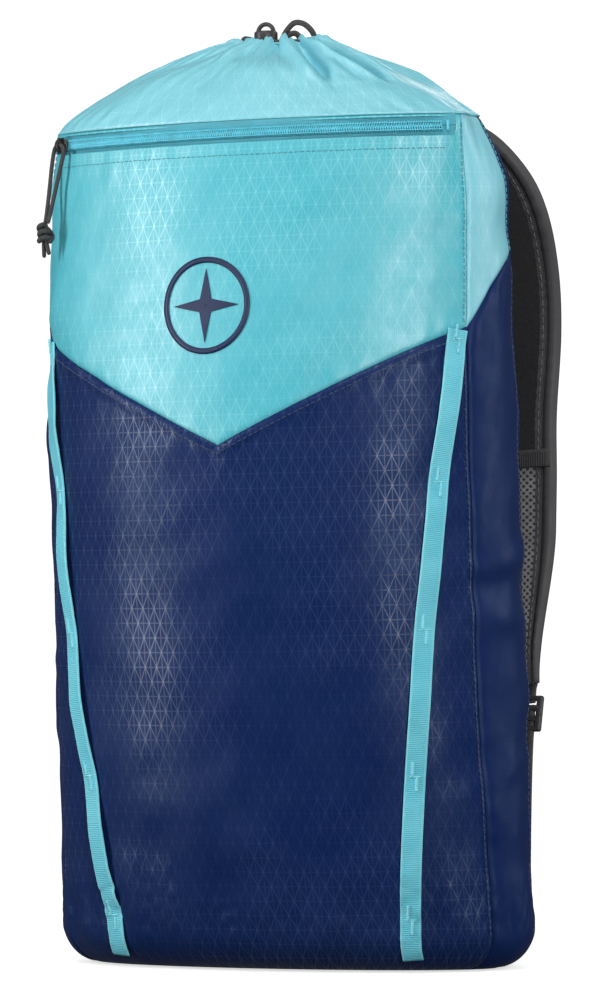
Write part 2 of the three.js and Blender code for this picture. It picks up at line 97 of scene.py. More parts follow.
CAMERA_ANGLES = (25, 0.198, 1.356)
CAMERA_DISTANCE, CAMERA_LENS, CAMERA_SHIFT = 2.501, 185.8, 0.0142

BADGE = {"x": -6.3, "z": 318.0, "inner": 20.2, "outer": 23.0, "waist": 4.4, "tip": 17.5}

BARTACK_Z = (26, 94, 163, 232, 299)
CHAIN_TOP_Z = 302
STRAP_ROUTE = (
    (69, 52.8, 397), (79, 60.5, 386), (88, 71, 363), (89.5, 81, 336), (88.5, 85.5, 305),
    (85.5, 84.5, 264), (86.5, 80, 232), (88, 73, 196), (92, 63.5, 158), (95.5, 56, 132),
)
ADJUSTER_ROUTE = (
    (97, 53.6, 122), (97.6, 51.6, 114), (98.1, 48.4, 107), (98.1, 45.6, 90), (97.7, 43.8, 66), (97, 43.6, 44),
)
HAUL_ROUTE = (
    (42, 391), (43, 404), (42, 418), (37, 427), (26, 431), (10, 432.4),
    (-10, 432.4), (-26, 431), (-37, 427), (-42, 418), (-43, 404), (-42, 391),
)
LOOP_ROUTE = (
    (-15.4, -1.6, 441), (-15.6, -1.6, 445), (-14.4, -1.6, 448.8), (-12, -1.6, 448.6), (-9.6, -1.6, 445.9),
    (-4, -1.6, 445.4), (2.6, -1.6, 445.6), (6, -2.3, 447.4), (9.6, -3.6, 451.8), (14, -4.4, 455),
    (18.6, -4, 454.4), (22, -2.4, 451), (22.8, 0.2, 446.6), (21, 2.6, 443.4), (17.2, 4, 443.4),
    (14, 4.2, 447), (11, 3.6, 450.6), (7.6, 2.6, 450), (4.8, 2, 446.6), (1.6, 1.6, 445.4),
    (-4, 1.6, 445.4), (-9.6, 1.6, 445.9), (-12, 1.6, 448.6), (-14.4, 1.6, 448.8),
    (-15.6, 1.6, 445), (-15.4, 1.6, 441),
)
PULL_ROUTE = (
    (-1.2, 8.2, 362.8), (-1.5, 7.3, 366), (-2.2, 5.6, 373), (-3.1, 3.7, 381),
    (-4, 1.7, 390), (-4.2, 0.5, 395.4),
    (-3.4, 0, 398.8), (-1.4, 0, 400), (1.4, 0, 400), (3.4, 0, 398.8), (4.2, 0.5, 395.4), (3.7, 1.7, 390),
    (2.7, 3.7, 381), (2, 5.6, 373), (1.4, 7.3, 366), (1.2, 8.2, 362.8),
)

# ---- Shape of the cloth ------------------------------------------------------------------------


def sized(levels, z):
    """Quadratic through its values at z = 0, 200 and 400."""
    s = z / 200
    low, middle, high = levels
    return low * (s - 1) * (s - 2) / 2 + middle * s * (2 - s) + high * s * (s - 1) / 2


def unit(vectors):
    return vectors / np.maximum(np.linalg.norm(vectors, axis=-1, keepdims=True), 1e-9)


def smoothstep(value, low, high):
    t = np.clip((value - low) / (high - low), 0, 1)
    return t * t * (3 - 2 * t)


def near(value, centre, width):
    return np.exp(-(((value - centre) / width) ** 2))


def ripple(u, v, scale, seed, waves=7):
    """Even, repeatable unevenness from -1 to 1, with lumps of about scale."""
    random = np.random.default_rng(seed)
    total = 0
    for _ in range(waves):
        turn, shift = random.uniform(0, 2 * math.pi, 2)
        pitch = scale * random.uniform(0.7, 1.5)
        total = total + np.sin((u * math.cos(turn) + v * math.sin(turn)) * 2 * math.pi / pitch + shift)
    return total / waves**0.5 / 1.4


def section(degrees, z, inset=0.0):
    """A point of the body's plan at a height, drawn in by inset."""
    angle = np.radians(degrees)
    c, s = np.cos(angle), np.sin(angle)
    power = np.where(s > 0, 2 / BACK_POWER, 1.0)
    depth = np.where(s > 0, sized(BACK_DEPTH, z), sized(FRONT_DEPTH, z)) - inset
    x = (sized(HALF_WIDTH, z) - inset) * np.sign(c) * np.abs(c) ** power
    return np.stack(np.broadcast_arrays(x, depth * np.sign(s) * np.abs(s) ** power, z), -1)


def smooth_body(degrees, z):
    """The filled sack's wall, with its rounded lower edge and its sloping shoulders."""
    under = np.clip(BASE_RADIUS - z, 0, BASE_RADIUS)
    away = folded_angle(degrees) + 90
    shoulder = smoothstep(away, 61, 84) * (1 - smoothstep(away, 118, 150)) * smoothstep(z, 366, 414) ** 1.4
    return section(degrees, z, BASE_RADIUS - np.sqrt(BASE_RADIUS**2 - under**2) + SHOULDER_SLOPE * shoulder)


def front_angle(x, z):
    """Plan angle of the front cloth at a width and a height."""
    under = np.clip(BASE_RADIUS - z, 0, BASE_RADIUS)
    half = sized(HALF_WIDTH, z) - (BASE_RADIUS - np.sqrt(BASE_RADIUS**2 - under**2))
    return -np.degrees(np.arccos(np.clip(x / half, -1, 1)))


def folded_angle(degrees):
    """The same angle on the right-hand half of the sack."""
    return np.abs(np.mod(degrees + 270, 360) - 180) - 90


def colour_seam(degrees):
    """Height at which the teal cloth meets the navy cloth."""
    folded = folded_angle(degrees)
    front = APEX_Z + (SHOULDER_Z - APEX_Z) * np.cos(np.radians(folded)) / math.cos(math.radians(FRONT_SEAM))
    share = np.clip((folded - FRONT_SEAM) / (BACK_SEAM - FRONT_SEAM), 0, 1)
    side = SHOULDER_Z + (SIDE_TOP_Z - SHOULDER_Z) * np.sin(share * math.pi / 2)
    return np.where(folded < FRONT_SEAM, front, side)


def chain_x(z):
    return 76 + (107 - 76) * z / CHAIN_TOP_Z


def creases(degrees, z):
    """How far the filled cloth stands out of its smooth shape."""
    u = degrees * 2.1
    folded = folded_angle(degrees)
    top = smoothstep(z, 20, 60) * (1 - smoothstep(z, 380, 402))
    soft = 0.9 * ripple(u, z, 90, 3) + 0.3 * ripple(u, z * 1.4, 38, 5)
    fine = 0.05 * ripple(u, z, 13, 8)
    lines = 1 - np.abs(ripple(u * 0.5, z, 44, 12))
    crease = 0.5 * np.clip(lines - 0.62, 0, 1) * smoothstep(ripple(u, z, 120, 21), 0.0, 0.6)
    side = smoothstep(folded, -45, -12) * (1 - smoothstep(folded, 8, 24))
    buckle = side * (
        1.5 * near(z, 196 + 0.15 * u, 8) - 1.3 * near(z, 182, 7) + 0.9 * near(z, 164 - u * 0.12, 6)
        - 0.8 * near(z, 112 + u * 0.2, 9) + 0.7 * near(z, 98 + u * 0.2, 6)
        + 0.5 * ripple(u * 0.6, z * 1.3, 40, 31)
    )
    gather = 0.3 * near(z, SEAM_Z - 16, 13) * ripple(u, z * 0.12, 21, 41)
    seam = z - colour_seam(degrees)
    pucker = 0.3 * near(seam, -7, 6) * ripple(u, z * 0.3, 9, 43)
    pucker = pucker + 0.22 * near(seam, 5, 5) * ripple(u, z * 0.3, 11, 47)
    upright = np.minimum(np.abs(folded - FRONT_SEAM), np.abs(folded - BACK_SEAM)) * 2
    tug = 0.28 * near(upright, 5, 5) * ripple(z, u * 0.3, 12, 53)
    under = near(z, 24, 22) * (0.9 * ripple(u, z * 0.5, 26, 61) + 0.5 * np.abs(ripple(u, z, 15, 63)))
    under = under * smoothstep(z, 3, 22)
    total = (soft + crease) * top + fine * top + buckle * top + gather + pucker + tug + under
    for tack in BARTACK_Z:
        reach = np.abs(np.cos(np.radians(degrees))) * sized(HALF_WIDTH, z) - chain_x(tack)
        total = total - 0.7 * np.exp(-(reach**2 + (z - tack) ** 2) / 11**2) * (folded < FRONT_SEAM + 12)
    return total


def outward(degrees, z):
    across = smooth_body(degrees + 0.4, z) - smooth_body(degrees - 0.4, z)
    up = smooth_body(degrees, z + 0.3) - smooth_body(degrees, np.maximum(z - 0.3, 0))
    return unit(np.cross(across, up))


def skin(degrees, z, lift=0.0):
    """Points of the creased cloth, in millimetres, raised by lift."""
    degrees, z, lift = np.broadcast_arrays(
        np.asarray(degrees, float), np.asarray(z, float), np.asarray(lift, float)
    )
    return smooth_body(degrees, z) + outward(degrees, z) * (lift + creases(degrees, z))[..., None]


def on_arc(degrees, radius, z):
    """A point beside the zip's arc."""
    angle = np.radians(degrees)
    return np.stack(np.broadcast_arrays(radius * np.sin(angle), ZIP_CENTRE_Y - radius * np.cos(angle), z), -1)


def through(points, step):
    """A smooth line through points, with about step between its samples."""
    p = np.array(points, float)
    p = np.vstack([2 * p[0] - p[1], p, 2 * p[-1] - p[-2]])
    line = []
    for a, b, c, d in zip(p, p[1:], p[2:], p[3:]):
        count = max(1, math.ceil(np.linalg.norm(c - b) / step))
        for t in np.arange(count) / count:
            square, cube = 2 * a - 5 * b + 4 * c - d, 3 * b - a - 3 * c + d
            line.append(0.5 * (2 * b + (c - a) * t + square * t**2 + cube * t**3))
    return np.vstack([line, p[-2]])


def lengths(points):
    """Distance along a line, or along each row of points."""
    steps = np.linalg.norm(np.diff(points, axis=0), axis=-1)
    return np.concatenate([np.zeros_like(steps[:1]), np.cumsum(steps, axis=0)])


def spread(low, high, step, fine=(0.5, 1.1, 1.9, 3.0, 4.4)):
    """Values from low to high, closer together at both ends."""
    inner = np.linspace(low + fine[-1], high - fine[-1], max(3, round((high - low) / step)))
    ends = np.array((0,) + fine[:-1])
    return np.concatenate([low + ends, inner, high - ends[::-1]])


# ---- Meshes ------------------------------------------------------------------------------------


class Skin:
    """Points, faces and UVs of one or more shells, collected for one mesh."""

    def __init__(self):
        self.points, self.faces, self.uvs, self.finishes, self.count = [], [], [], [], 0

    def quads(self, points, corners, uvs, finish=0):
        """corners is (n, 4) indices, and uvs is (n, 4, 2)."""
        self.faces.append(np.asarray(corners) + self.count)
        self.uvs.append(np.asarray(uvs, float))
        self.finishes.append(np.broadcast_to(finish, len(corners)))
        self.points.append(np.asarray(points, float))
        self.count += len(points)

    def sheet(self, grid, u, v, keep=None, finish=0):
        """An open sheet over a (rows, columns, 3) grid."""
        rows, columns = grid.shape[:2]
        i, j = np.meshgrid(np.arange(rows - 1), np.arange(columns - 1), indexing="ij")
        i, j = i.ravel(), j.ravel()
        here, above = i * columns + j, (i + 1) * columns + j
        corners = np.stack([here, here + 1, above + 1, above], 1)
        flat = np.stack(np.broadcast_arrays(u, v), -1).reshape(-1, 2)
        uvs = flat[corners]
        if keep is not None:
            chosen = keep[:-1, :-1].ravel()
            corners, uvs = corners[chosen], uvs[chosen]
        self.quads(grid.reshape(-1, 3), corners, uvs, finish)

    def loft(self, rings, u, v, closed=False, finish=0):
        """Rings of points joined into one closed skin: u runs along it, v round it."""
        count, around = rings.shape[:2]
        middle = rings.mean(1)
        if not closed:
            first, last = (end[:, None].repeat(around, 1) for end in (middle[:1], middle[-1:]))
            rings = np.concatenate([first, rings, last])
            u = np.concatenate([u[:1], u, u[-1:]])
            count += 2
            if np.ndim(finish):
                finish = np.broadcast_to(finish, (count - 3, around))
                finish = np.pad(finish, ((1, 1), (0, 0)), mode="edge")
        i, j = np.meshgrid(np.arange(count - 1 + closed), np.arange(around), indexing="ij")
        i, j = i.ravel(), j.ravel()
        k, m = (i + 1) % count, (j + 1) % around
        corners = np.stack([i * around + j, i * around + m, k * around + m, k * around + j], 1)
        step = u[-1] - u[-2]
        along = np.concatenate([u, [u[-1] + step]]) if closed else u
        uvs = np.stack(
            [np.stack([along[i], v[j]], 1), np.stack([along[i], v[j + 1]], 1),
             np.stack([along[i + 1], v[j + 1]], 1), np.stack([along[i + 1], v[j]], 1)], 1
        )
        points = rings.reshape(-1, 3)
        a, b, c, d = (points[corners[:, n]] for n in range(4))
        volume = (a * np.cross(b, c)).sum() + (a * np.cross(c, d)).sum()
        if volume < 0:
            corners, uvs = corners[:, ::-1], uvs[:, ::-1]
        if np.ndim(finish):
            finish = np.broadcast_to(finish, (count - 1 + closed, around)).ravel()
        self.quads(points, corners, uvs, finish)

    def mesh(self, name, scale=MM):
        mesh = bpy.data.meshes.new(name)
        points = np.concatenate(self.points) * scale
        faces = np.concatenate(self.faces)
        mesh.from_pydata(points, [], faces.tolist())
        layer = mesh.uv_layers.new(name="UVMap")
        layer.data.foreach_set("uv", (np.concatenate(self.uvs) * MM).ravel())
        mesh.polygons.foreach_set("material_index", np.concatenate(self.finishes).astype(np.int32))
        piece = bpy.data.objects.new(name, mesh)
        bpy.context.scene.collection.objects.link(piece)
        only(piece)
        bpy.ops.object.mode_set(mode="EDIT")
        bpy.ops.mesh.select_all(action="SELECT")
        bpy.ops.mesh.remove_doubles(threshold=1e-6)
        bpy.ops.mesh.dissolve_degenerate(threshold=1e-6)
        bpy.ops.mesh.select_all(action="SELECT")
        bpy.ops.object.mode_set(mode="OBJECT")
        bpy.ops.object.shade_smooth()
        return piece


def only(piece):
    bpy.ops.object.select_all(action="DESELECT")
    piece.select_set(True)
    bpy.context.view_layer.objects.active = piece


def thickened(piece, thickness):
    """Gives a sheet its thickness, inwards from the drawn face."""
    modified(piece, "SOLIDIFY", thickness=thickness, offset=-1.0)


def modified(piece, kind, **settings):
    """Adds a modifier and applies it."""
    only(piece)
    modifier = piece.modifiers.new(kind.title(), kind)
    for key, value in settings.items():
        setattr(modifier, key, value)
    bpy.ops.object.modifier_apply(modifier=modifier.name)
    return piece


def finished(piece, materials, body, nodes=()):
    """Gives a piece its materials, the body it moves with and the nodes it stands for."""
    for material in materials if isinstance(materials, (list, tuple)) else [materials]:
        piece.data.materials.append(material)
    if body:
        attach(piece, body)
    if nodes:
        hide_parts(*nodes)
    return piece


def frames(line):
    """Tangent and two steady cross directions at each point of a line."""
    tangents = unit(np.gradient(line, axis=0))
    normal = np.cross(tangents[0], (0, 0, 1) if abs(tangents[0][2]) < 0.9 else (1, 0, 0))
    normals = []
    for tangent in tangents:
        normal = normal - tangent * np.dot(normal, tangent)
        normal = normal / np.linalg.norm(normal)
        normals.append(normal)
    normals = np.array(normals)
    return tangents, normals, np.cross(tangents, normals)


def tube(skin_of, line, radius, sides=10, closed=False):
    """Adds a round tube along a line, with rounded ends."""
    line = np.asarray(line, float)
    radii = np.broadcast_to(np.asarray(radius, float), len(line)).copy()
    tangents, a, b = frames(line)
    if closed:
        line, radii, a, b = line[:-1], radii[:-1], a[:-1], b[:-1]
    else:
        ends = [(-0.92, 0.4), (-0.6, 0.8)]
        start = [(line[0] + tangents[0] * e * radii[0], radii[0] * r, a[0], b[0]) for e, r in ends]
        stop = [(line[-1] - tangents[-1] * e * radii[-1], radii[-1] * r, a[-1], b[-1]) for e, r in ends[::-1]]
        line = np.array([s[0] for s in start] + list(line) + [s[0] for s in stop])
        radii = np.array([s[1] for s in start] + list(radii) + [s[1] for s in stop])
        a = np.array([s[2] for s in start] + list(a) + [s[2] for s in stop])
        b = np.array([s[3] for s in start] + list(b) + [s[3] for s in stop])
    turn = np.linspace(0, 2 * math.pi, sides, endpoint=False)
    rings = line[:, None] + radii[:, None, None] * (
        np.cos(turn)[None, :, None] * a[:, None] + np.sin(turn)[None, :, None] * b[:, None]
    )
    round_it = np.linspace(0, 2 * math.pi * radii.max(), sides + 1)
    skin_of.loft(rings, lengths(line), round_it, closed)


def ribbon(skin_of, line, across, width, thickness, columns=8, finish=0):
    """Adds a flat woven band along a line, with soft selvedges; across points along its width."""
    line = np.asarray(line, float)
    tangents = unit(np.gradient(line, axis=0))
    across = np.broadcast_to(np.asarray(across, float), line.shape)
    across = unit(across - tangents * (across * tangents).sum(-1, keepdims=True))
    out = np.cross(across, tangents)
    widths = np.broadcast_to(np.asarray(width, float), len(line))
    side = np.linspace(-0.5, 0.5, columns + 1)
    edge = min(0.3, thickness / np.max(widths))
    side = np.concatenate([[-0.5, -0.5 + edge * 0.35], side[1:-1], [0.5 - edge * 0.35, 0.5]])
    height = np.ones_like(side) * 0.5
    height[0] = height[-1] = 0.22
    profile_side = np.concatenate([side, side[::-1]])
    profile_out = np.concatenate([height, -height])
    rings = (
        line[:, None]
        + (profile_side[None, :] * widths[:, None])[..., None] * across[:, None]
        + (profile_out * thickness)[None, :, None] * out[:, None]
    )
    v = (np.concatenate([profile_side, profile_side[:1]]) + 0.5) * widths.max()
    skin_of.loft(rings, lengths(line), v, finish=finish)


def stitches(skin_of, line, pitch=3.1, length=2.3, radius=0.24, lift=None):
    """Adds a row of sewn stitches along a line that lies on the cloth."""
    line = np.asarray(line, float)
    far = lengths(line)
    for start in np.arange(0.4, far[-1] - length, pitch):
        shares = np.array([0, 0.12, 0.5, 0.88, 1])
        places = start + shares * length
        p = np.stack([np.interp(places, far, line[:, n]) for n in range(3)], -1)
        if lift is not None:
            outs = np.stack([np.interp(places, far, lift[:, n]) for n in range(3)], -1)
            p = p + outs * (np.array([-0.28, 0.02, 0.12, 0.02, -0.28]) * radius * 4)[:, None]
        thin_tube(skin_of, p, radius * np.array([0.7, 1, 1, 1, 0.7]), 5)


def thin_tube(skin_of, line, radii, sides):
    _, a, b = frames(line)
    turn = np.linspace(0, 2 * math.pi, sides, endpoint=False)
    rings = line[:, None] + np.asarray(radii)[:, None, None] * (
        np.cos(turn)[None, :, None] * a[:, None] + np.sin(turn)[None, :, None] * b[:, None]
    )
    skin_of.loft(rings, lengths(line), np.linspace(0, 2 * math.pi * np.max(radii), sides + 1))


def area_of(grid, keep=None):
    """Area of a (rows, columns, 3) grid, or of the faces it keeps, in square metres."""
    a, b, c, d = grid[:-1, :-1], grid[:-1, 1:], grid[1:, 1:], grid[1:, :-1]
    halves = np.linalg.norm(np.cross(b - a, c - a), axis=-1) + np.linalg.norm(np.cross(c - a, d - a), axis=-1)
    if keep is not None:
        halves = halves[keep[:-1, :-1]]
    return float(halves.sum() / 2) * MM**2


# ---- Materials ---------------------------------------------------------------------------------


class Graph:
    """Adds nodes to one shader tree and links them."""

    def __init__(self, tree):
        self.tree = tree

    def node(self, kind, **settings):
        made = self.tree.nodes.new("ShaderNode" + kind)
        for key, value in settings.items():
            setattr(made, key, value)
        return made

    def put(self, socket, value):
        if isinstance(value, bpy.types.NodeSocket):
            self.tree.links.new(value, socket)
        else:
            socket.default_value = value

    def maths(self, operation, *values):
        made = self.node("Math", operation=operation)
        for socket, value in zip(made.inputs, values):
            self.put(socket, value)
        return made.outputs[0]

    def remap(self, value, low, high, to_low=0.0, to_high=1.0):
        made = self.node("MapRange", interpolation_type="SMOOTHSTEP")
        for socket, given in zip(made.inputs, (value, low, high, to_low, to_high)):
            self.put(socket, given)
        return made.outputs[0]

    def mix(self, factor, a, b):
        made = self.node("Mix", data_type="RGBA")
        for socket, given in zip((made.inputs[0], made.inputs[6], made.inputs[7]), (factor, a, b)):
            self.put(socket, given)
        return made.outputs[2]

    def split(self, vector):
        made = self.node("SeparateXYZ")
        self.put(made.inputs[0], vector)
        return made.outputs

    def noise(self, vector, scale, detail=2.0):
        made = self.node("TexNoise")
        self.put(made.inputs["Vector"], vector)
        self.put(made.inputs["Scale"], scale)
        self.put(made.inputs["Detail"], detail)
        return made.outputs[0]

    def group(self, tree, **values):
        made = self.node("Group", node_tree=tree)
        for key, value in values.items():
            self.put(made.inputs[key.replace("_", " ")], value)
        return made.outputs

    def bump(self, height, strength, distance, normal=None):
        made = self.node("Bump")
        self.put(made.inputs["Strength"], strength)
        self.put(made.inputs["Distance"], distance)
        self.put(made.inputs["Height"], height)
        if normal is not None:
            self.put(made.inputs["Normal"], normal)
        return made.outputs[0]


def node_group(name, inputs, outputs):
    """An empty shader group with its graph, its input sockets and its output node."""
    tree = bpy.data.node_groups.new(name, "ShaderNodeTree")
    for label, value in inputs.items():
        kind = "NodeSocketVector" if value is None else "NodeSocketFloat"
        socket = tree.interface.new_socket(label, in_out="INPUT", socket_type=kind)
        if value is not None:
            socket.default_value = value
    for label in outputs:
        tree.interface.new_socket(label, in_out="OUTPUT", socket_type="NodeSocketFloat")
    graph = Graph(tree)
    return graph, tree.nodes.new("NodeGroupInput").outputs, tree.nodes.new("NodeGroupOutput").inputs


def wave(graph, value, pitch):
    """A round wave from 0 to 1 that repeats every pitch."""
    turns = graph.maths("MULTIPLY", graph.maths("DIVIDE", value, pitch), 2 * math.pi)
    return graph.maths("MULTIPLY_ADD", graph.maths("SINE", turns), 0.5, 0.5)


def line_mask(graph, value, pitch, half_width):
    """1 on the lines that repeat every pitch, 0 between them."""
    away = graph.maths("PINGPONG", value, graph.maths("MULTIPLY", pitch, 0.5))
    return graph.remap(away, graph.maths("MULTIPLY", half_width, 0.35), half_width, 1.0, 0.0)


def make_weave():
    """Plain weave: warp and weft threads that pass over and under."""
    graph, given, out = node_group("Plain Weave", {"Place": None, "Thread": 0.0005}, ("Height", "Shade"))
    u, v, _ = graph.split(given["Place"])
    warp, weft = wave(graph, u, given["Thread"]), wave(graph, v, given["Thread"])
    half = graph.maths("MULTIPLY", given["Thread"], 2.0)
    over = graph.maths("MULTIPLY", wave(graph, u, half), wave(graph, v, half))
    height = graph.maths("ADD", graph.maths("MULTIPLY", warp, weft), over)
    graph.put(out["Height"], graph.maths("MULTIPLY", height, 0.5))
    stray = graph.noise(given["Place"], 900.0, 3.0)
    streak = graph.node("Mapping")
    graph.put(streak.inputs["Vector"], given["Place"])
    streak.inputs["Scale"].default_value = (1.0, 26.0, 1.0)
    bands = graph.noise(streak.outputs[0], 70.0, 2.0)
    shares = graph.maths("MULTIPLY", stray, 0.35), graph.maths("MULTIPLY", bands, 0.65)
    graph.put(out["Shade"], graph.maths("ADD", *shares))
    return graph.tree


def make_emboss():
    """Pressed triangle lattice: rows, uprights and diagonals that cross in small stars."""
    sockets = {"Place": None, "Row": 0.007, "Step": 0.0068, "Line": 0.0004}
    graph, given, out = node_group("Triangle Emboss", sockets, ("Lines", "Stars"))
    u, v, _ = graph.split(given["Place"])
    row, step, line = given["Row"], given["Step"], given["Line"]
    slope = graph.maths("DIVIDE", step, graph.maths("MULTIPLY", row, 2.0))
    leaning = graph.maths("MULTIPLY", v, slope)
    half_step = graph.maths("MULTIPLY", step, 0.5)
    rows = line_mask(graph, v, row, line)
    uprights = line_mask(graph, u, half_step, line)
    right = line_mask(graph, graph.maths("ADD", u, leaning), step, line)
    left = line_mask(graph, graph.maths("SUBTRACT", u, leaning), step, line)
    diagonals = graph.maths("MAXIMUM", right, left)
    straight = graph.maths("MULTIPLY", graph.maths("MAXIMUM", rows, uprights), 0.6)
    lattice = graph.maths("MAXIMUM", straight, diagonals)
    wide = graph.maths("MULTIPLY", line, 4.0)
    near_right = line_mask(graph, graph.maths("ADD", u, leaning), step, wide)
    near_left = line_mask(graph, graph.maths("SUBTRACT", u, leaning), step, wide)
    near_row = line_mask(graph, v, row, wide)
    star = graph.maths("MULTIPLY", near_row, graph.maths("MULTIPLY", near_right, near_left))
    graph.put(out["Lines"], lattice)
    graph.put(out["Stars"], graph.maths("MULTIPLY", star, lattice))
    return graph.tree


def make_ribs():
    """Cross ribs of narrow webbing, with a tighter selvedge at each side."""
    sockets = {"Place": None, "Pitch": 0.0008, "Width": 0.01}
    graph, given, out = node_group("Webbing Ribs", sockets, ("Height", "Selvedge"))
    u, v, _ = graph.split(given["Place"])
    middle = graph.maths("ABSOLUTE", graph.maths("SUBTRACT", v, graph.maths("MULTIPLY", given["Width"], 0.5)))
    limits = [graph.maths("MULTIPLY", given["Width"], share) for share in (0.38, 0.44)]
    selvedge = graph.remap(middle, *limits)
    ribs = wave(graph, u, given["Pitch"])
    threads = wave(graph, v, graph.maths("MULTIPLY", given["Pitch"], 0.7))
    height = graph.maths("MULTIPLY_ADD", threads, 0.3, graph.maths("MULTIPLY", ribs, 0.7))
    slant = graph.maths("ADD", u, graph.maths("MULTIPLY", v, 1.6))
    twill = wave(graph, slant, graph.maths("MULTIPLY", given["Pitch"], 1.1))
    blend = graph.node("Mix", data_type="FLOAT")
    for socket, value in zip(blend.inputs[:1] + [blend.inputs[2], blend.inputs[3]], (selvedge, height, twill)):
        graph.put(socket, value)
    graph.put(out["Height"], blend.outputs[0])
    graph.put(out["Selvedge"], selvedge)
    return graph.tree


def make_braid():
    """Braided cord: two sets of strands that cross round it."""
    inputs = {"Place": None, "Girth": 0.008, "Pitch": 0.0016}
    graph, given, out = node_group("Cord Braid", inputs, ("Height", "Fleck"))
    u, v, _ = graph.split(given["Place"])
    strand = graph.maths("DIVIDE", given["Girth"], 6.0)
    around = graph.maths("DIVIDE", v, strand)
    along = graph.maths("DIVIDE", u, given["Pitch"])
    a = wave(graph, graph.maths("ADD", around, along), 1.0)
    b = wave(graph, graph.maths("SUBTRACT", around, along), 1.0)
    graph.put(out["Height"], graph.maths("POWER", graph.maths("MAXIMUM", a, b), 2.0))
    graph.put(out["Fleck"], graph.remap(graph.maths("SUBTRACT", a, b), -0.2, 0.2))
    return graph.tree


def make_spacer():
    """Spacer mesh: rows of small round holes, each row set off by half a step."""
    inputs = {"Place": None, "Step": 0.003, "Hole": 0.3}
    graph, given, out = node_group("Spacer Mesh", inputs, ("Hole", "Height"))
    u, v, _ = graph.split(given["Place"])
    a = graph.maths("DIVIDE", u, given["Step"])
    b = graph.maths("DIVIDE", v, given["Step"])
    one = graph.maths("PINGPONG", graph.maths("ADD", a, b), 0.5)
    two = graph.maths("PINGPONG", graph.maths("SUBTRACT", a, b), 0.5)
    squares = [graph.maths("POWER", value, 2.0) for value in (one, two)]
    away = graph.maths("SQRT", graph.maths("ADD", *squares))
    inner = graph.maths("MULTIPLY", given["Hole"], 0.6)
    graph.put(out["Hole"], graph.remap(away, inner, given["Hole"], 1.0, 0.0))
    graph.put(out["Height"], graph.remap(away, 0.05, 0.5))
    return graph.tree


def make_wear():
    """Slow unevenness for colour and gloss, from handling and dye."""
    graph, given, out = node_group("Uneven Wear", {"Place": None, "Size": 30.0}, ("Colour", "Gloss"))
    graph.put(out["Colour"], graph.remap(graph.noise(given["Place"], given["Size"], 3.0), 0.3, 0.7))
    finer = graph.maths("MULTIPLY", given["Size"], 4.3)
    graph.put(out["Gloss"], graph.remap(graph.noise(given["Place"], finer, 2.0), 0.3, 0.7))
    return graph.tree


GROUPS = {}


def group_of(maker):
    """The node group that maker builds, built once."""
    if maker not in GROUPS:
        GROUPS[maker] = maker()
    return GROUPS[maker]


def new_material(name, roughness, **constants):
    """A material with its shader, its graph and the piece's UV and object places."""
    material = bpy.data.materials.new(name)
    material.use_nodes = True
    graph = Graph(material.node_tree)
    shader = material.node_tree.nodes["Principled BSDF"]
    shader.inputs["Roughness"].default_value = roughness
    for label, value in constants.items():
        shader.inputs[label.replace("_", " ")].default_value = value
    places = graph.node("TexCoord").outputs
    return material, graph, shader, places["UV"], places["Object"]


def rgba(colour, factor=1.0):
    return tuple(min(1.0, c * factor) for c in colour[:3]) + (1.0,)


def dressed(graph, shader, tone, roughness, normal):
    """Links a finished colour, roughness and normal to the shader."""
    for label, value in (("Base Color", tone), ("Roughness", roughness), ("Normal", normal)):
        graph.put(shader.inputs[label], value)


def uneven(graph, gloss, roughness, under=0.06, over=0.06):
    """Roughness that wanders a little either side of its own value."""
    return graph.remap(gloss, 0.0, 1.0, roughness - under, roughness + over)


def cloth_material(name, colour, light, roughness=0.4, emboss_sheen=0.0, thread=0.0005, weave=0.25, **constants):
    """Coated cloth: plain weave, slow unevenness and, where it is pressed, the triangle lattice, its lines
    painted lighter in patches as a painted highlight.
    """
    material, graph, shader, uv, place = new_material(name, roughness, **constants)
    weave_out = graph.group(group_of(make_weave), Place=uv, Thread=thread)
    wear = graph.group(group_of(make_wear), Place=place, Size=22.0)
    tone = graph.mix(graph.maths("MULTIPLY", wear["Colour"], 0.16), rgba(colour), rgba(light))
    tone = graph.mix(graph.maths("MULTIPLY", weave_out["Shade"], 0.5), tone, rgba(colour, 0.72))
    normal = graph.bump(weave_out["Height"], weave, 0.00012)
    normal = graph.bump(graph.noise(place, 210.0, 3.0), 0.2, 0.0006, normal)
    if emboss_sheen:
        lattice = graph.group(group_of(make_emboss), Place=uv)
        # Painted highlight: the lattice lines are painted lighter, towards 1.6 times the light colour, in noise
        # patches that stand in for glossy zones. Their coat and bump are real gloss and relief.
        lattice_sheen_mask = graph.maths("MAXIMUM", graph.maths("MULTIPLY", lattice["Lines"], 0.7), lattice["Stars"])
        sheen_patches = graph.remap(graph.noise(place, 14.0, 2.0), 0.42, 0.6, 0.35, 1.0)
        lattice_sheen_mask = graph.maths("MULTIPLY", lattice_sheen_mask, sheen_patches)
        # Painted highlight on the lattice lines.
        tone = graph.mix(graph.maths("MULTIPLY", lattice_sheen_mask, emboss_sheen), tone, rgba(light, 1.6))
        graph.put(shader.inputs["Coat Weight"], lattice_sheen_mask)
        shader.inputs["Coat Roughness"].default_value = 0.3
        normal = graph.bump(lattice_sheen_mask, 0.12, 0.00012, normal)
    dressed(graph, shader, tone, uneven(graph, wear["Gloss"], roughness, 0.04, 0.05), normal)
    return material


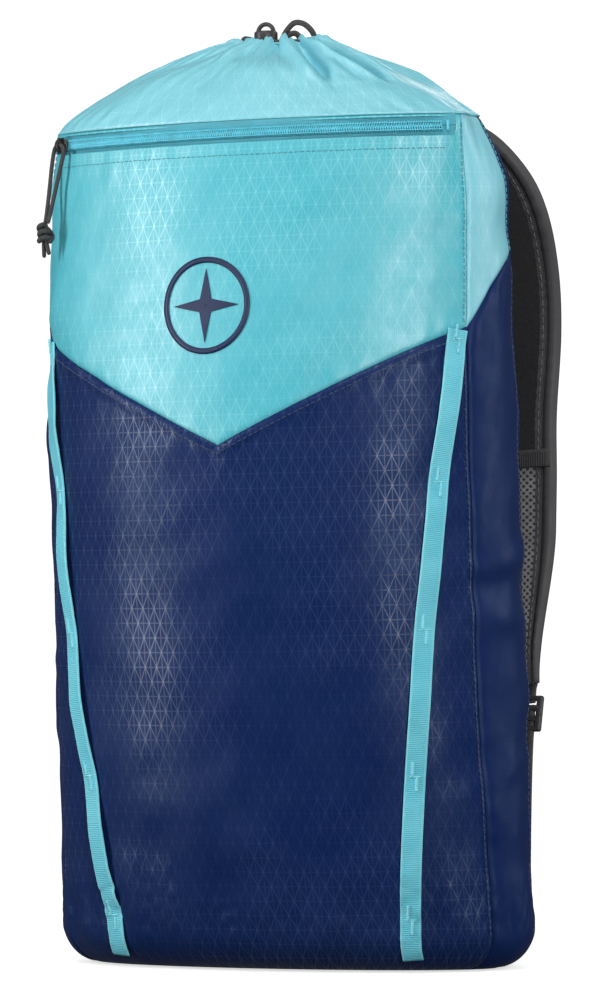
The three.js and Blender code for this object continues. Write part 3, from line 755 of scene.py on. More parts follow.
def webbing_material(name, colour, light, pitch, width, roughness=0.6, **constants):
    """Ribbed webbing with lighter selvedges and painted shade in its rib grooves."""
    material, graph, shader, uv, place = new_material(name, roughness, **constants)
    ribs = graph.group(group_of(make_ribs), Place=uv, Pitch=pitch, Width=width)
    wear = graph.group(group_of(make_wear), Place=place, Size=60.0)
    # Painted shade: the low parts of the ribs are painted darker, down to 0.62 of the colour.
    tone = graph.mix(ribs["Height"], rgba(colour, 0.62), rgba(colour))
    tone = graph.mix(graph.maths("MULTIPLY", ribs["Selvedge"], 0.5), tone, rgba(light))
    tone = graph.mix(graph.maths("MULTIPLY", wear["Colour"], 0.2), tone, rgba(light))
    normal = graph.bump(ribs["Height"], 0.7, 0.0003)
    dressed(graph, shader, tone, uneven(graph, wear["Gloss"], roughness), normal)
    return material


def cord_material(name, colour, fleck, girth, pitch, roughness=0.75):
    """Braided cord, with flecks of a second colour where the strands cross and painted shade between its
    strands.
    """
    material, graph, shader, uv, place = new_material(name, roughness)
    braid = graph.group(group_of(make_braid), Place=uv, Girth=girth, Pitch=pitch)
    wear = graph.group(group_of(make_wear), Place=place, Size=300.0)
    # Painted shade: the low parts between strands are painted darker, down to 0.45 of the colour.
    tone = graph.mix(braid["Height"], rgba(colour, 0.45), rgba(colour))
    tone = graph.mix(graph.maths("MULTIPLY", braid["Fleck"], 0.4), tone, rgba(fleck))
    tone = graph.mix(graph.maths("MULTIPLY", wear["Colour"], 0.3), tone, rgba(colour, 0.8))
    gloss = uneven(graph, wear["Gloss"], roughness, 0.08, 0.08)
    dressed(graph, shader, tone, gloss, graph.bump(braid["Height"], 0.9, 0.0003))
    return material


def mesh_material(name, colour, light, step, hole, roughness=0.85):
    """Knitted spacer mesh, its raised knit painted lighter and its small holes and low knit painted dark:
    painted highlight and painted shade.
    """
    material, graph, shader, uv, place = new_material(name, roughness, Sheen_Weight=0.15)
    mesh = graph.group(group_of(make_spacer), Place=uv, Step=step, Hole=hole)
    wear = graph.group(group_of(make_wear), Place=place, Size=120.0)
    # Painted highlight and shade: the raised knit is painted lighter and its low parts darker, and the holes are
    # painted dark at 0.3 of the colour.
    tone = graph.mix(mesh["Height"], rgba(colour), rgba(light))
    tone = graph.mix(mesh["Hole"], tone, rgba(colour, 0.3))
    tone = graph.mix(graph.maths("MULTIPLY", wear["Colour"], 0.25), tone, rgba(colour, 0.7))
    height = graph.maths("SUBTRACT", mesh["Height"], mesh["Hole"])
    normal = graph.bump(height, 0.8, 0.0006)
    dressed(graph, shader, tone, uneven(graph, wear["Gloss"], roughness), normal)
    return material


def moulded_material(name, colour, roughness, metal=0.0):
    """Moulded plastic or drawn metal with fine grain and handled, brighter high spots."""
    material, graph, shader, _, place = new_material(name, roughness, Metallic=metal)
    wear = graph.group(group_of(make_wear), Place=place, Size=240.0)
    tone = graph.mix(graph.maths("MULTIPLY", wear["Colour"], 0.5), rgba(colour), rgba(colour, 1.5))
    normal = graph.bump(graph.noise(place, 2600.0, 2.0), 0.25, 0.0001)
    dressed(graph, shader, tone, uneven(graph, wear["Gloss"], roughness, 0.08, 0.1), normal)
    return material


def thread_material(name, colour):
    """Twisted sewing thread, with painted shade in the grooves of its twist."""
    material, graph, shader, uv, place = new_material(name, 0.5, Sheen_Weight=0.2)
    u, v, _ = graph.split(uv)
    twist = wave(graph, graph.maths("ADD", u, graph.maths("MULTIPLY", v, 0.8)), 0.0005)
    wear = graph.group(group_of(make_wear), Place=place, Size=200.0)
    # Painted shade: the twist's low parts are painted darker, down to 0.7 of the colour.
    tone = graph.mix(twist, rgba(colour, 0.7), rgba(colour))
    tone = graph.mix(graph.maths("MULTIPLY", wear["Colour"], 0.3), tone, rgba(colour, 0.8))
    graph.put(shader.inputs["Base Color"], tone)
    graph.put(shader.inputs["Normal"], graph.bump(twist, 0.5, 0.0001))
    return material


# ---- Settings ----------------------------------------------------------------------------------


def colour_setting(name, value, text):
    kind = {"size": 3, "min": 0, "max": 1, "subtype": "COLOR"}
    return FloatVectorProperty(name=name, description=text, default=value, **kind)


def length_setting(name, value, text):
    return FloatProperty(name=name, description=text, default=value, min=0, unit="LENGTH", subtype="DISTANCE")


class DaypackColours(bpy.types.PropertyGroup):
    """Dyes of the cloth, webbing, cords and plastic, and the paler and lighter tones that carry painted sheen
    and painted highlight.
    """

    teal: colour_setting("Teal", (0.055, 0.49, 0.59), "Upper cloth and collar")
    # Painted sheen: a paler copy of the teal, used on the sides and the collar.
    teal_side: colour_setting("Teal sheen", (0.21, 0.62, 0.73), "Sides and collar, painted paler as sheen")
    # The light tones of teal and navy serve the cloth's uneven dye and also the painted highlight on its lattice
    # lines.
    teal_light: colour_setting("Teal light", (0.26, 0.68, 0.78), "High spots of the upper cloth")
    navy: colour_setting("Navy", (0.0035, 0.0165, 0.088), "Lower cloth")
    navy_light: colour_setting("Navy light", (0.03, 0.06, 0.16), "High spots of the lower cloth")
    webbing: colour_setting("Webbing", (0.14, 0.68, 0.85), "Daisy-chain webbing")
    webbing_light: colour_setting("Webbing light", (0.32, 0.88, 0.98), "Selvedges and bar tacks")
    charcoal: colour_setting("Charcoal", (0.032, 0.032, 0.034), "Straps, haul loop and charcoal webbing")
    # The charcoal light tone is also the painted highlight on the open mesh's raised knit.
    charcoal_light: colour_setting("Charcoal light", (0.075, 0.075, 0.079), "High spots of the charcoal webbing")
    mesh: colour_setting("Mesh", (0.004, 0.004, 0.0055), "Inner face of the straps")
    cord: colour_setting("Cord", (0.06, 0.058, 0.06), "Drawcord and zip pull")
    plastic: colour_setting("Plastic", (0.03, 0.03, 0.031), "Cord lock and ladder locks")
    lining: colour_setting("Lining", (0.3, 0.33, 0.37), "Pocket lining")


class DaypackSizes(bpy.types.PropertyGroup):
    """Sizes that set the character of the cloth."""

    cloth: length_setting("Cloth thickness", 0.0007, "Thickness of the coated cloth")
    seam_depth: length_setting("Seam depth", 0.0011, "How far a seam sinks into the cloth")
    fold_depth: length_setting("Fold depth", 0.0055, "Depth of the collar's gathered folds")
    drawcord: length_setting("Drawcord", 0.0028, "Diameter of the drawcord")
    pull_cord: length_setting("Pull cord", 0.0021, "Diameter of the zip pull's cord")
    tooth_pitch: length_setting("Tooth pitch", 0.00115, "Distance between two teeth of the zip's coil")
    sides: IntProperty(name="Cord sides", description="Faces round each cord", default=14, min=6, max=32)


def sizes():
    return bpy.context.scene.daypack_sizes


MATERIALS = {}


def finish(name):
    """The material of that name, made from the colour settings the first time."""
    if not MATERIALS:
        c = bpy.context.scene.daypack_colours
        shiny = {"Sheen_Weight": 0.0, "Specular_IOR_Level": 1.0}
        satin = {"Sheen_Weight": 0.0, "Specular_IOR_Level": 0.2, "Specular_Tint": (0.55, 0.7, 1.0, 1.0)}
        MATERIALS.update(
            teal=cloth_material("Teal Ripstop", c.teal, c.teal_light, 0.45, 0.24, **shiny),
            # The sides and the collar take the paler teal: painted sheen.
            teal_side=cloth_material("Teal Side", c.teal_side, c.teal_light, 0.5, 0.15, **shiny),
            collar=cloth_material("Teal Collar", c.teal_side, c.teal_light, 0.5, 0.25, **shiny),
            navy=cloth_material("Navy Ripstop", c.navy, c.navy_light, 0.4, 0.24, **satin),
            navy_plain=cloth_material("Navy Plain", c.navy, c.navy_light, 0.44, **satin),
            lining=cloth_material("Grey Lining", c.lining, rgba(c.lining, 1.4), 0.5),
            badge=cloth_material("Navy Print", rgba(c.navy, 0.8), c.navy_light, 0.5, thread=0.0006),
            chain=webbing_material(
                "Teal Webbing", c.webbing, c.webbing_light, 0.0009, 0.01, 0.55, Sheen_Weight=0.1
            ),
            tape=webbing_material("Zip Tape", rgba(c.webbing, 0.7), c.webbing, 0.0006, 0.03, 0.6),
            coil=moulded_material("Zip Coil", rgba(c.webbing, 0.8), 0.35),
            charcoal=webbing_material("Charcoal Webbing", c.charcoal, c.charcoal_light, 0.0012, 0.02, 0.65),
            yoke=webbing_material("Charcoal Yoke", c.charcoal, c.charcoal_light, 0.0012, 0.016, 0.7),
            haul=webbing_material("Haul Loop Webbing", c.charcoal, c.charcoal_light, 0.0012, 0.006, 0.65),
            shell=cloth_material(
                "Strap Cover", rgba(c.charcoal, 1.7), c.charcoal_light, 0.6, thread=0.0009, weave=0.6
            ),
            binding=webbing_material("Strap Binding", rgba(c.charcoal, 0.7), c.charcoal_light, 0.001, 0.4, 0.6),
            fine_mesh=mesh_material("Fine Mesh", rgba(c.mesh, 0.6), rgba(c.mesh, 1.5), 0.0016, 0.2),
            # The open mesh's light tone, 2.6 times the charcoal light, is the painted highlight on its raised
            # knit.
            coarse_mesh=mesh_material(
                "Open Mesh", rgba(c.charcoal, 0.6), rgba(c.charcoal_light, 2.6), 0.0034, 0.26
            ),
            drawcord=cord_material("Drawcord Braid", c.cord, rgba(c.cord, 2.6), 0.0088, 0.0021),
            pull=cord_material("Pull Cord Braid", c.cord, rgba(c.cord, 1.7), 0.0066, 0.0017),
            plastic=moulded_material("Moulded Plastic", c.plastic, 0.4),
            lock=moulded_material("Cord Lock Plastic", rgba(c.charcoal, 1.2), 0.45),
            slider=moulded_material("Painted Slider", rgba(c.plastic, 1.2), 0.35, 0.4),
            steel=moulded_material("Spring Wire", (0.55, 0.55, 0.57), 0.3, 1.0),
            teal_thread=thread_material("Teal Thread", c.webbing_light),
            dark_teal_thread=thread_material("Seam Thread", rgba(c.webbing, 0.6)),
            navy_thread=thread_material("Navy Thread", rgba(c.navy_light, 0.9)),
            grey_thread=thread_material("Grey Thread", rgba(c.charcoal_light, 2.0)),
        )
    return MATERIALS[name]


class PieceOperator(bpy.types.Operator):
    """Common ground of the operators that build pieces."""

    bl_options = {"REGISTER", "UNDO"}


# ---- Cloth -------------------------------------------------------------------------------------


def rolled(grid, depth, sides):
    """How far the cloth sinks beside each of its seams: sides names the sunk edges."""
    up, along = lengths(grid), lengths(grid.swapaxes(0, 1)).T
    away = {"low": up, "high": up[-1:] - up, "left": along, "right": along[:, -1:] - along}
    sink = sum(np.exp(-((away[side] / 1.5) ** 1.3)) for side in sides)
    return -depth * np.minimum(sink, 1.2)


def back_seam_lean(heights):
    """How far the back seam has come forward, in degrees, near the shoulders."""
    return 4.5 * smoothstep(heights, 325, 402)


def panel(name, degrees, heights, look, nodes, keep=None, lift=0.0, lean=(0, 0)):
    """One cloth panel over the sack: heights is (rows, columns), and lean moves its two upright edges."""
    sides = ("low", "high", "left", "right")
    share = (degrees - degrees[0]) / (degrees[-1] - degrees[0])
    angles = degrees + back_seam_lean(heights) * (lean[0] * (1 - share) + lean[1] * share)
    flat = skin(angles, heights)
    depth = sizes().seam_depth / MM
    grid = skin(angles, heights, rolled(flat, depth, sides) + lift)
    built = Skin()
    girth = lengths(smooth_body(degrees, np.full(len(degrees), 200.0)))
    zero = -90 if degrees[0] < -90 < degrees[-1] else degrees[0]
    built.sheet(grid, (girth - np.interp(zero, degrees, girth))[None], heights, keep)
    piece = built.mesh(name)
    thickened(piece, sizes().cloth)
    finished(piece, finish(look), "sack", nodes)
    area = area_of(smooth_body(angles, heights), keep)
    return piece


def wall_rows(low, high, step=2.2):
    """Row heights up a wall, as shares, with the under-turned edge crowded."""
    return spread(0, 1, step / (high - low), tuple(v / (high - low) for v in (0.5, 1.1, 1.9, 3.0, 4.4)))


def base_rows():
    """Heights up the rounded lower edge, evenly spaced round its arc."""
    turn = np.radians(np.linspace(86, 4, 13))
    return BASE_RADIUS - BASE_RADIUS * np.sin(turn)


def lower_heights(degrees, top):
    under = np.broadcast_to(base_rows()[:, None], (13, len(degrees)))
    shares = wall_rows(BASE_RADIUS, 270)
    return np.concatenate([under, BASE_RADIUS + (top - BASE_RADIUS) * shares[3:, None]])


class DAYPACK_OT_front_panels(PieceOperator):
    """Builds the teal upper front with its zip slot and the navy lower front that laps over it."""

    bl_idname = "daypack.front_panels"
    bl_label = "Front Panels"

    def execute(self, context):
        degrees = spread(-157, FRONT_SEAM, 0.9, (0.25, 0.6, 1.0, 1.6, 2.3))
        slot_half_width = ZIP_RADIUS * math.sin(math.radians(SLOT_HALF_ANGLE))
        slot_edge = np.degrees(np.arcsin(slot_half_width / sized(HALF_WIDTH, ZIP_Z)))
        for edge in (-90 - slot_edge, -90 + slot_edge):
            degrees[np.argmin(np.abs(degrees - edge))] = edge
        seam = colour_seam(degrees)
        shares = wall_rows(270, 395.4)
        rows = [seam + 0.3 + (395.4 - seam - 0.3) * share for share in shares]
        rows += [np.full(len(degrees), z) for z in (398.0, 401.4, 404.6, 405.0, 405.5, 406.2)]
        heights = np.array(rows)
        slot_rows = (heights[:, 0] > 395.3) & (heights[:, 0] < 404.5)
        slot_columns = np.abs(degrees + 90) < slot_edge + 0.01
        slot_columns[np.flatnonzero(slot_columns)[-1]] = False
        keep = ~(slot_rows[:, None] & slot_columns[None])
        panel("front_upper", degrees, heights, "teal", ["front_upper_panel"], keep)
        heights = lower_heights(degrees, seam + 0.8)
        lap = 0.75 * smoothstep(heights, seam[None] - 5.2, seam[None] - 4.0)
        panel("front_lower", degrees, heights, "navy", ["front_lower_panel"], lift=lap)
        return {"FINISHED"}


class DAYPACK_OT_side_and_back_panels(PieceOperator):
    """Builds both sides, the back and the base."""

    bl_idname = "daypack.side_and_back_panels"
    bl_label = "Side, Back and Base Panels"

    def execute(self, context):
        for side, low, high in (("right", FRONT_SEAM, BACK_SEAM), ("left", 180 - BACK_SEAM, 180 - FRONT_SEAM)):
            degrees = spread(low, high, 1.2, (0.3, 0.8, 1.4, 2.1, 3.0))
            seam = colour_seam(degrees)
            rows = [seam + 0.3 + (406.2 - seam - 0.3) * share for share in wall_rows(320, 406)]
            nodes = [side + "_upper_side_panel"]
            lean = (0, -1) if side == "right" else (1, 0)
            panel(side + "_side_upper", degrees, np.array(rows), "teal_side", nodes, lean=lean)
            heights = lower_heights(degrees, seam + 0.6)
            nodes = [side + "_lower_side_panel"]
            panel(side + "_side_lower", degrees, heights, "navy_plain", nodes)
        degrees = spread(BACK_SEAM, 180 - BACK_SEAM, 1.5, (0.3, 0.8, 1.4, 2.1, 3.0))
        heights = lower_heights(degrees, np.full(len(degrees), 406.2))
        panel("back_panel_cloth", degrees, heights, "navy_plain", ["back_panel"], lean=(-1, 1))
        self.base()
        self.lining()
        return {"FINISHED"}

    def base(self):
        degrees = np.linspace(0, 360, 97)
        rings = []
        for share in np.linspace(0, 1, 14) ** 0.8:
            edge = section(degrees, np.zeros(97), BASE_RADIUS - 1.3)
            sag = 0.9 + 0.5 * ripple(edge[:, 0] * share, edge[:, 1] * share, 45, 71) * (1 - share**4)
            lifted = 0.1 + np.maximum(sag, 0) * (1 - share**6)
            rings.append(np.stack([edge[:, 0] * share, edge[:, 1] * share, lifted], -1))
        grid = np.array(rings)
        built = Skin()
        built.sheet(grid, grid[..., 0], grid[..., 1])
        piece = built.mesh("base_cloth")
        thickened(piece, sizes().cloth)
        finished(piece, finish("navy_plain"), "sack", ["base_panel"])

    def lining(self):
        degrees = np.linspace(-151.5, -28.5, 70)
        low = colour_seam(degrees) + 5
        shares = np.linspace(0, 1, 40)[:, None]
        heights = low + (389.5 - low) * shares
        top = section(degrees, np.full(70, 390.0), 12.6)
        angles = np.broadcast_to(degrees, heights.shape)
        grid = np.broadcast_to(top, heights.shape + (3,)).copy()
        grid[..., 2] = heights
        foot = section(angles, heights, 3.4)
        blend = smoothstep(shares, 0.0, 0.35)[..., None]
        inner = np.where(np.abs(foot[..., :2]) < np.abs(grid[..., :2]), foot[..., :2], grid[..., :2])
        grid[..., :2] = foot[..., :2] * (1 - blend) + inner * blend
        built = Skin()
        built.sheet(grid, lengths(top)[None], heights)
        piece = built.mesh("pocket_lining_cloth")
        thickened(piece, sizes().cloth * 0.6)
        finished(piece, finish("lining"), "sack", ["pocket_lining"])


class DAYPACK_OT_seams(PieceOperator):
    """Sews the topstitched rows along the colour seam, the zip and the upright seams."""

    bl_idname = "daypack.seams"
    bl_label = "Topstitching"

    def row(self, name, look, slot, degrees, heights, lift, **sizing):
        line = skin(degrees, heights, lift)
        built = Skin()
        stitches(built, line, lift=outward(degrees, heights), **sizing)
        return finished(built.mesh(name), finish(look), "sack")

    def execute(self, context):
        degrees = np.linspace(-156, FRONT_SEAM - 1, 400)
        seam = colour_seam(degrees)
        self.row("seam_stitch_front", "navy_thread", "navy_fabric", degrees, seam - 3.2, 0.75)
        degrees, row = degrees[20:-20], np.full(360, 389.4)
        self.row("zip_stitch_lower", "dark_teal_thread", "zip", degrees, row, 0.05, pitch=2.8, length=2.0)
        for side, sign in SIDES:
            for place, angle in (("front", FRONT_SEAM - 1.35), ("back", BACK_SEAM - 1.3)):
                low = float(colour_seam(np.array(angle)))
                teal, navy = np.arange(low + 3, 404, 1.0), np.arange(16.0, low - 3, 1.0)
                for part, look, z in (("teal", "dark_teal_thread", teal), ("navy", "navy_thread", navy)):
                    leaning = angle - back_seam_lean(z) * (place == "back")
                    row = leaning if sign > 0 else 180 - leaning
                    self.row(f"{side}_{place}_seam_{part}", look, part + "_fabric", row, z, 0.0)
        return {"FINISHED"}


def collar_rise(points, share):
    line = through(points, 0.02)
    return np.interp(share, line[:, 0], line[:, 1])


def collar_profile(degrees):
    """How far in and how far up the collar has come, in 64 steps, fuller on the left than on the right."""
    share = np.linspace(0, 1, 64)
    points = ((0, 0), (0.06, 0.13), (0.2, 0.34), (0.39, 0.57), (0.62, 0.77), (0.85, 0.93), (1, 1))
    full = collar_rise(points, share)
    lean = collar_rise(((0, 0), (0.14, 0.18), (0.28, 0.35), (0.57, 0.64), (0.79, 0.82), (1, 1)), share)
    left = smoothstep(-np.cos(np.radians(degrees)), -0.6, 0.8)
    return share, lean[:, None] + (full - lean)[:, None] * left


class DAYPACK_OT_collar(PieceOperator):
    """Builds the gathered collar and the hem that holds its drawcord, as one folded sheet."""

    bl_idname = "daypack.collar"
    bl_label = "Gathered Collar"

    def execute(self, context):
        degrees = np.linspace(0, 360, 541)[:-1]
        share, rise = collar_profile(degrees)
        angle = np.radians(degrees)
        mouth = np.stack([MOUTH_X + MOUTH_HALF_WIDTH * np.cos(angle), MOUTH_HALF_DEPTH * np.sin(angle)], -1)
        foot = smooth_body(degrees, np.full(540, float(SEAM_Z)))[:, :2]
        rows = []
        for inward, up in zip(share, rise):
            flat = foot + (mouth - foot) * inward
            rows.append(np.column_stack([flat, SEAM_Z + 0.2 + (MOUTH_Z - SEAM_Z - 0.2) * up]))
        halves = np.array([MOUTH_HALF_WIDTH, MOUTH_HALF_DEPTH])
        for inset, z in HEM_TURN:
            shrink = (halves - inset) / halves
            flat = (mouth - (MOUTH_X, 0)) * shrink + (MOUTH_X, 0)
            rows.append(np.column_stack([flat, np.full(540, z)]))
        grid = np.array(rows)
        across = np.roll(grid, -1, 1) - np.roll(grid, 1, 1)
        up = np.gradient(grid, axis=0)
        normal = unit(np.cross(across, up))
        way = np.concatenate([share, np.full(len(HEM_TURN), 1.0)])[:, None]
        grid = grid + normal * self.folds(degrees, way, len(share))[..., None]
        closed = np.concatenate([grid, grid[:, :1]], 1)
        built = Skin()
        u = np.concatenate([degrees, [360]]) / 360 * lengths(np.column_stack([foot, np.zeros(540)]))[-1]
        v = lengths(np.array(rows)[:, 405:406])
        built.sheet(closed, u[None], v + SEAM_Z)
        piece = built.mesh("collar_cloth")
        thickened(piece, sizes().cloth)
        finished(piece, finish("collar"), "sack", ["collar", "drawcord_channel"])
        self.hem_cord()
        return {"FINISHED"}

    def folds(self, degrees, way, walls):
        """Height of the gathers: deep at the mouth, spent near the seam."""
        bent = degrees + 9 * np.sin(np.radians(2 * degrees + 40)) + 6 * np.sin(np.radians(3 * degrees + 200))
        twist = bent + 16 * way * np.sin(np.radians(degrees * 2 + 30))
        depth = sizes().fold_depth / MM
        round_tops = 1 - np.abs(np.sin(np.radians(twist * 5.5 + 24))) ** 0.7
        sinking = 0.35 * smoothstep(way, 0.08, 0.4) + 0.65 * smoothstep(way, 0.4, 0.9)
        deep = -(round_tops**1.3) * depth * sinking
        narrow = (1 - np.abs(np.sin(np.radians(bent * 11 + 50)))) ** 1.5
        second = -narrow * depth * 0.5 * smoothstep(way, 0.35, 0.95)
        reach = 0.35 + 0.3 * np.sin(np.radians(degrees * 5 + 10))
        varied = 0.6 + 0.4 * np.sin(np.radians(degrees * 3))
        third = 0.9 * np.sin(np.radians(bent * 17)) * smoothstep(way, 0.7, 1.0) * varied
        soft = 1.6 * ripple(degrees * 2.1, way * 60, 55, 91) * near(way, 0.5, 0.35)
        lines = 1 - np.abs(ripple(degrees * 1.4, way * 70, 46, 95))
        crush = 0.8 * np.clip(lines - 0.5, 0, 1) * near(way, 0.55, 0.3)
        fine = 0.35 * ripple(degrees * 2.1, way * 30, 13, 97) * smoothstep(way, 0.1, 0.5)
        start = 0.5 * ripple(degrees * 2.1, way * 12, 12, 99) * near(way, 0.06, 0.08)
        spread_out = deep * (0.45 + 0.25 * reach) + second * 0.8 + third * 0.6 + self.pleats(degrees, way)
        level = np.arange(way.shape[0])[:, None]
        fade = 1 - 0.55 * smoothstep(level, walls - 1, walls + 5)
        return (spread_out * fade + soft + crush + fine + start) * smoothstep(way, 0.0, 0.06)

    def pleats(self, degrees, way):
        """The two deep pleats that run down the front from the mouth."""
        total = np.zeros(np.broadcast(degrees, way).shape)
        for centre, drift, depth, end in COLLAR_CREASES:
            wide = 2.0 + 3.6 * way**2
            away = (degrees - centre - drift * (1 - way)) / wide
            ridges = [0.42 * np.exp(-((away + shift) ** 2)) for shift in (1.9, -1.9)]
            valley = -np.exp(-(away**2)) + ridges[0] + ridges[1]
            fade = 1 - 0.5 * smoothstep(way, 0.8, 1.0)
            total = total + depth * valley * smoothstep(way, end, end + 0.2) * fade
        return total

    def hem_cord(self):
        turn = np.linspace(0, 2 * math.pi, 121)
        reach = 3.5
        x = MOUTH_X + (MOUTH_HALF_WIDTH - reach) * np.cos(turn)
        y = (MOUTH_HALF_DEPTH - reach) * np.sin(turn)
        line = np.stack([x, y, np.full(121, 445.6)], -1)
        built = Skin()
        tube(built, line, 1.15, 10, closed=True)
        piece = built.mesh("drawcord_in_hem")
        finished(piece, finish("drawcord"), "sack", ["drawcord_ring"])


# ---- Zip ---------------------------------------------------------------------------------------


def slider_matrix():
    """Places a piece made at the slider's eye: X along the zip, Y into the sack, Z up."""
    angle = math.radians(SLIDER_ANGLE)
    eye = on_arc(SLIDER_ANGLE, SLIDER_RADIUS, ZIP_Z) * MM
    turn = Matrix.Rotation(angle, 4, "Z")
    return Matrix.Translation(Vector(eye)) @ turn


def beside_slider(points):
    """Points given as along the zip, away from the sack and height, in the sack's frame."""
    p = np.array(points, float)
    angle = math.radians(SLIDER_ANGLE)
    along = np.array([math.cos(angle), math.sin(angle), 0])
    out = np.array([math.sin(angle), -math.cos(angle), 0])
    eye = on_arc(SLIDER_ANGLE, SLIDER_RADIUS, 0.0)
    return eye + p[:, :1] * along + p[:, 1:2] * out + p[:, 2:] * np.array([0, 0, 1.0])


class DAYPACK_OT_zip(PieceOperator):
    """Builds the zip's tapes, the interlocked teeth of its coil with their sewn rows, and its stops."""

    bl_idname = "daypack.zip"
    bl_label = "Pocket Zip"

    def execute(self, context):
        turn = np.linspace(-SLOT_HALF_ANGLE - 0.1, SLOT_HALF_ANGLE + 0.1, 181)
        tapes = (("upper", 400.0, 405.8, "zip_tape_upper"), ("lower", 392.0, 399.9, "zip_tape_lower"))
        for name, low, high, node in tapes:
            rows = np.linspace(low, high, 10)[:, None]
            sag = 0.14 * ripple(turn * 3.7, rows * 3, 14, 111)
            grid = on_arc(turn, ZIP_RADIUS - 0.95 + 0 * rows + sag, rows + 0 * turn)
            built = Skin()
            built.sheet(grid, lengths(grid[0])[None], rows + 0 * turn - 392)
            piece = built.mesh("zip_tape_cloth_" + name)
            thickened(piece, 0.0006)
            finished(piece, finish("tape"), "sack", [node])
        self.teeth()
        self.stop("zip_end_left", -29.1, "zip_bottom_stop")
        self.stop("zip_end_right", 28.85, "zip_top_stop")
        return {"FINISHED"}

    def teeth(self):
        pitch = math.degrees(sizes().tooth_pitch / MM / ZIP_RADIUS)
        for name, side, shift in (("upper", 1, 0.0), ("lower", -1, 0.5)):
            built = Skin()
            for angle in np.arange(shift * pitch - TEETH_HALF_ANGLE, TEETH_HALF_ANGLE, pitch):
                reach = np.array([-0.55, -0.35, 0.4, 1.5, 2.35, 2.6])
                out = np.array([-0.5, 0.15, 0.55, 0.55, 0.2, -0.5])
                lean = np.array([0.05, 0.05, 0.0, 0.1, 0.16, 0.2]) * pitch * 2
                line = on_arc(angle + lean, ZIP_RADIUS + out, ZIP_Z + side * reach)
                thin_tube(built, line, np.array([0.4, 0.46, 0.4, 0.38, 0.36, 0.3]), 5)
            turn = np.linspace(-TEETH_HALF_ANGLE, TEETH_HALF_ANGLE, 420)
            row = on_arc(turn, ZIP_RADIUS + 1.0 + 0.08 * np.sin(np.arange(420) * 1.6), ZIP_Z + side * 1.75)
            thin_tube(built, row, np.full(420, 0.26), 5)
            piece = built.mesh("zip_teeth_" + name)
            finished(piece, finish("coil"), "sack", ["zip_coil_" + name])

    def stop(self, name, angle, node):
        place = on_arc(angle, ZIP_RADIUS, ZIP_Z)
        piece = primitive("cube", name, (1.3, 2.3, 5.0), place, (0, 0, math.radians(angle)))
        softened(piece, 0.6)
        finished(piece, finish("coil"), "sack", [node])


def primitive(kind, name, size, place=(0, 0, 0), rotation=(0, 0, 0), **settings):
    """Adds a primitive of a size at a place, in millimetres, with its turn and scale applied."""
    bpy.ops.object.select_all(action="DESELECT")
    if kind == "cube":
        settings["size"] = 1
    getattr(bpy.ops.mesh, f"primitive_{kind}_add")(location=Vector(place) * MM, rotation=rotation, **settings)
    piece = bpy.context.active_object
    piece.name = name
    piece.data.name = name
    piece.scale = Vector(size) * MM
    bpy.ops.object.transform_apply(location=True, rotation=True, scale=True)
    return piece


def cylinder(name, place, radius, depth, vertices=32, rotation=(0, 0, 0)):
    """A cylinder of a radius and depth in millimetres."""
    settings = {"radius": radius, "depth": depth, "vertices": vertices}
    return primitive("cylinder", name, (1, 1, 1), place, rotation, **settings)


def torus(name, place, radius, thickness, sections, rotation=(0, 0, 0)):
    """A ring of a radius and a half thickness in millimetres, with sections along and round it."""
    settings = {"major_radius": radius, "minor_radius": thickness}
    settings.update(major_segments=sections[0], minor_segments=sections[1])
    return primitive("torus", name, (1, 1, 1), place, rotation, **settings)


def tapered(piece, axis, limit, factor):
    """Scales the vertices beyond a limit along an axis, about the middle, in edit mode."""
    only(piece)
    bpy.ops.object.mode_set(mode="EDIT")
    bpy.ops.mesh.select_all(action="DESELECT")
    bpy.ops.object.mode_set(mode="OBJECT")
    for vertex in piece.data.vertices:
        vertex.select = vertex.co[axis] > limit * MM
    bpy.ops.object.mode_set(mode="EDIT")
    bpy.ops.transform.resize(value=factor)
    bpy.ops.object.mode_set(mode="OBJECT")


def combined(piece, other, operation="UNION"):
    """Joins another solid to a piece, or cuts it away, and removes the other."""
    modified(piece, "BOOLEAN", object=other, operation=operation, solver="EXACT")
    bpy.data.objects.remove(other, do_unlink=True)
    return piece


def softened(piece, width, segments=3, angle=35):
    """Rounds the edges sharper than an angle, by a width in millimetres."""
    sharp = {"limit_method": "ANGLE", "angle_limit": math.radians(angle)}
    modified(piece, "BEVEL", width=width * MM, segments=segments, **sharp)
    only(piece)
    bpy.ops.object.shade_smooth_by_angle(angle=math.radians(38))
    return piece


def moved(piece, matrix):
    """Turns and places a finished solid, and applies it."""
    only(piece)
    piece.matrix_world = matrix
    bpy.ops.object.transform_apply(location=True, rotation=True, scale=True)
    return piece


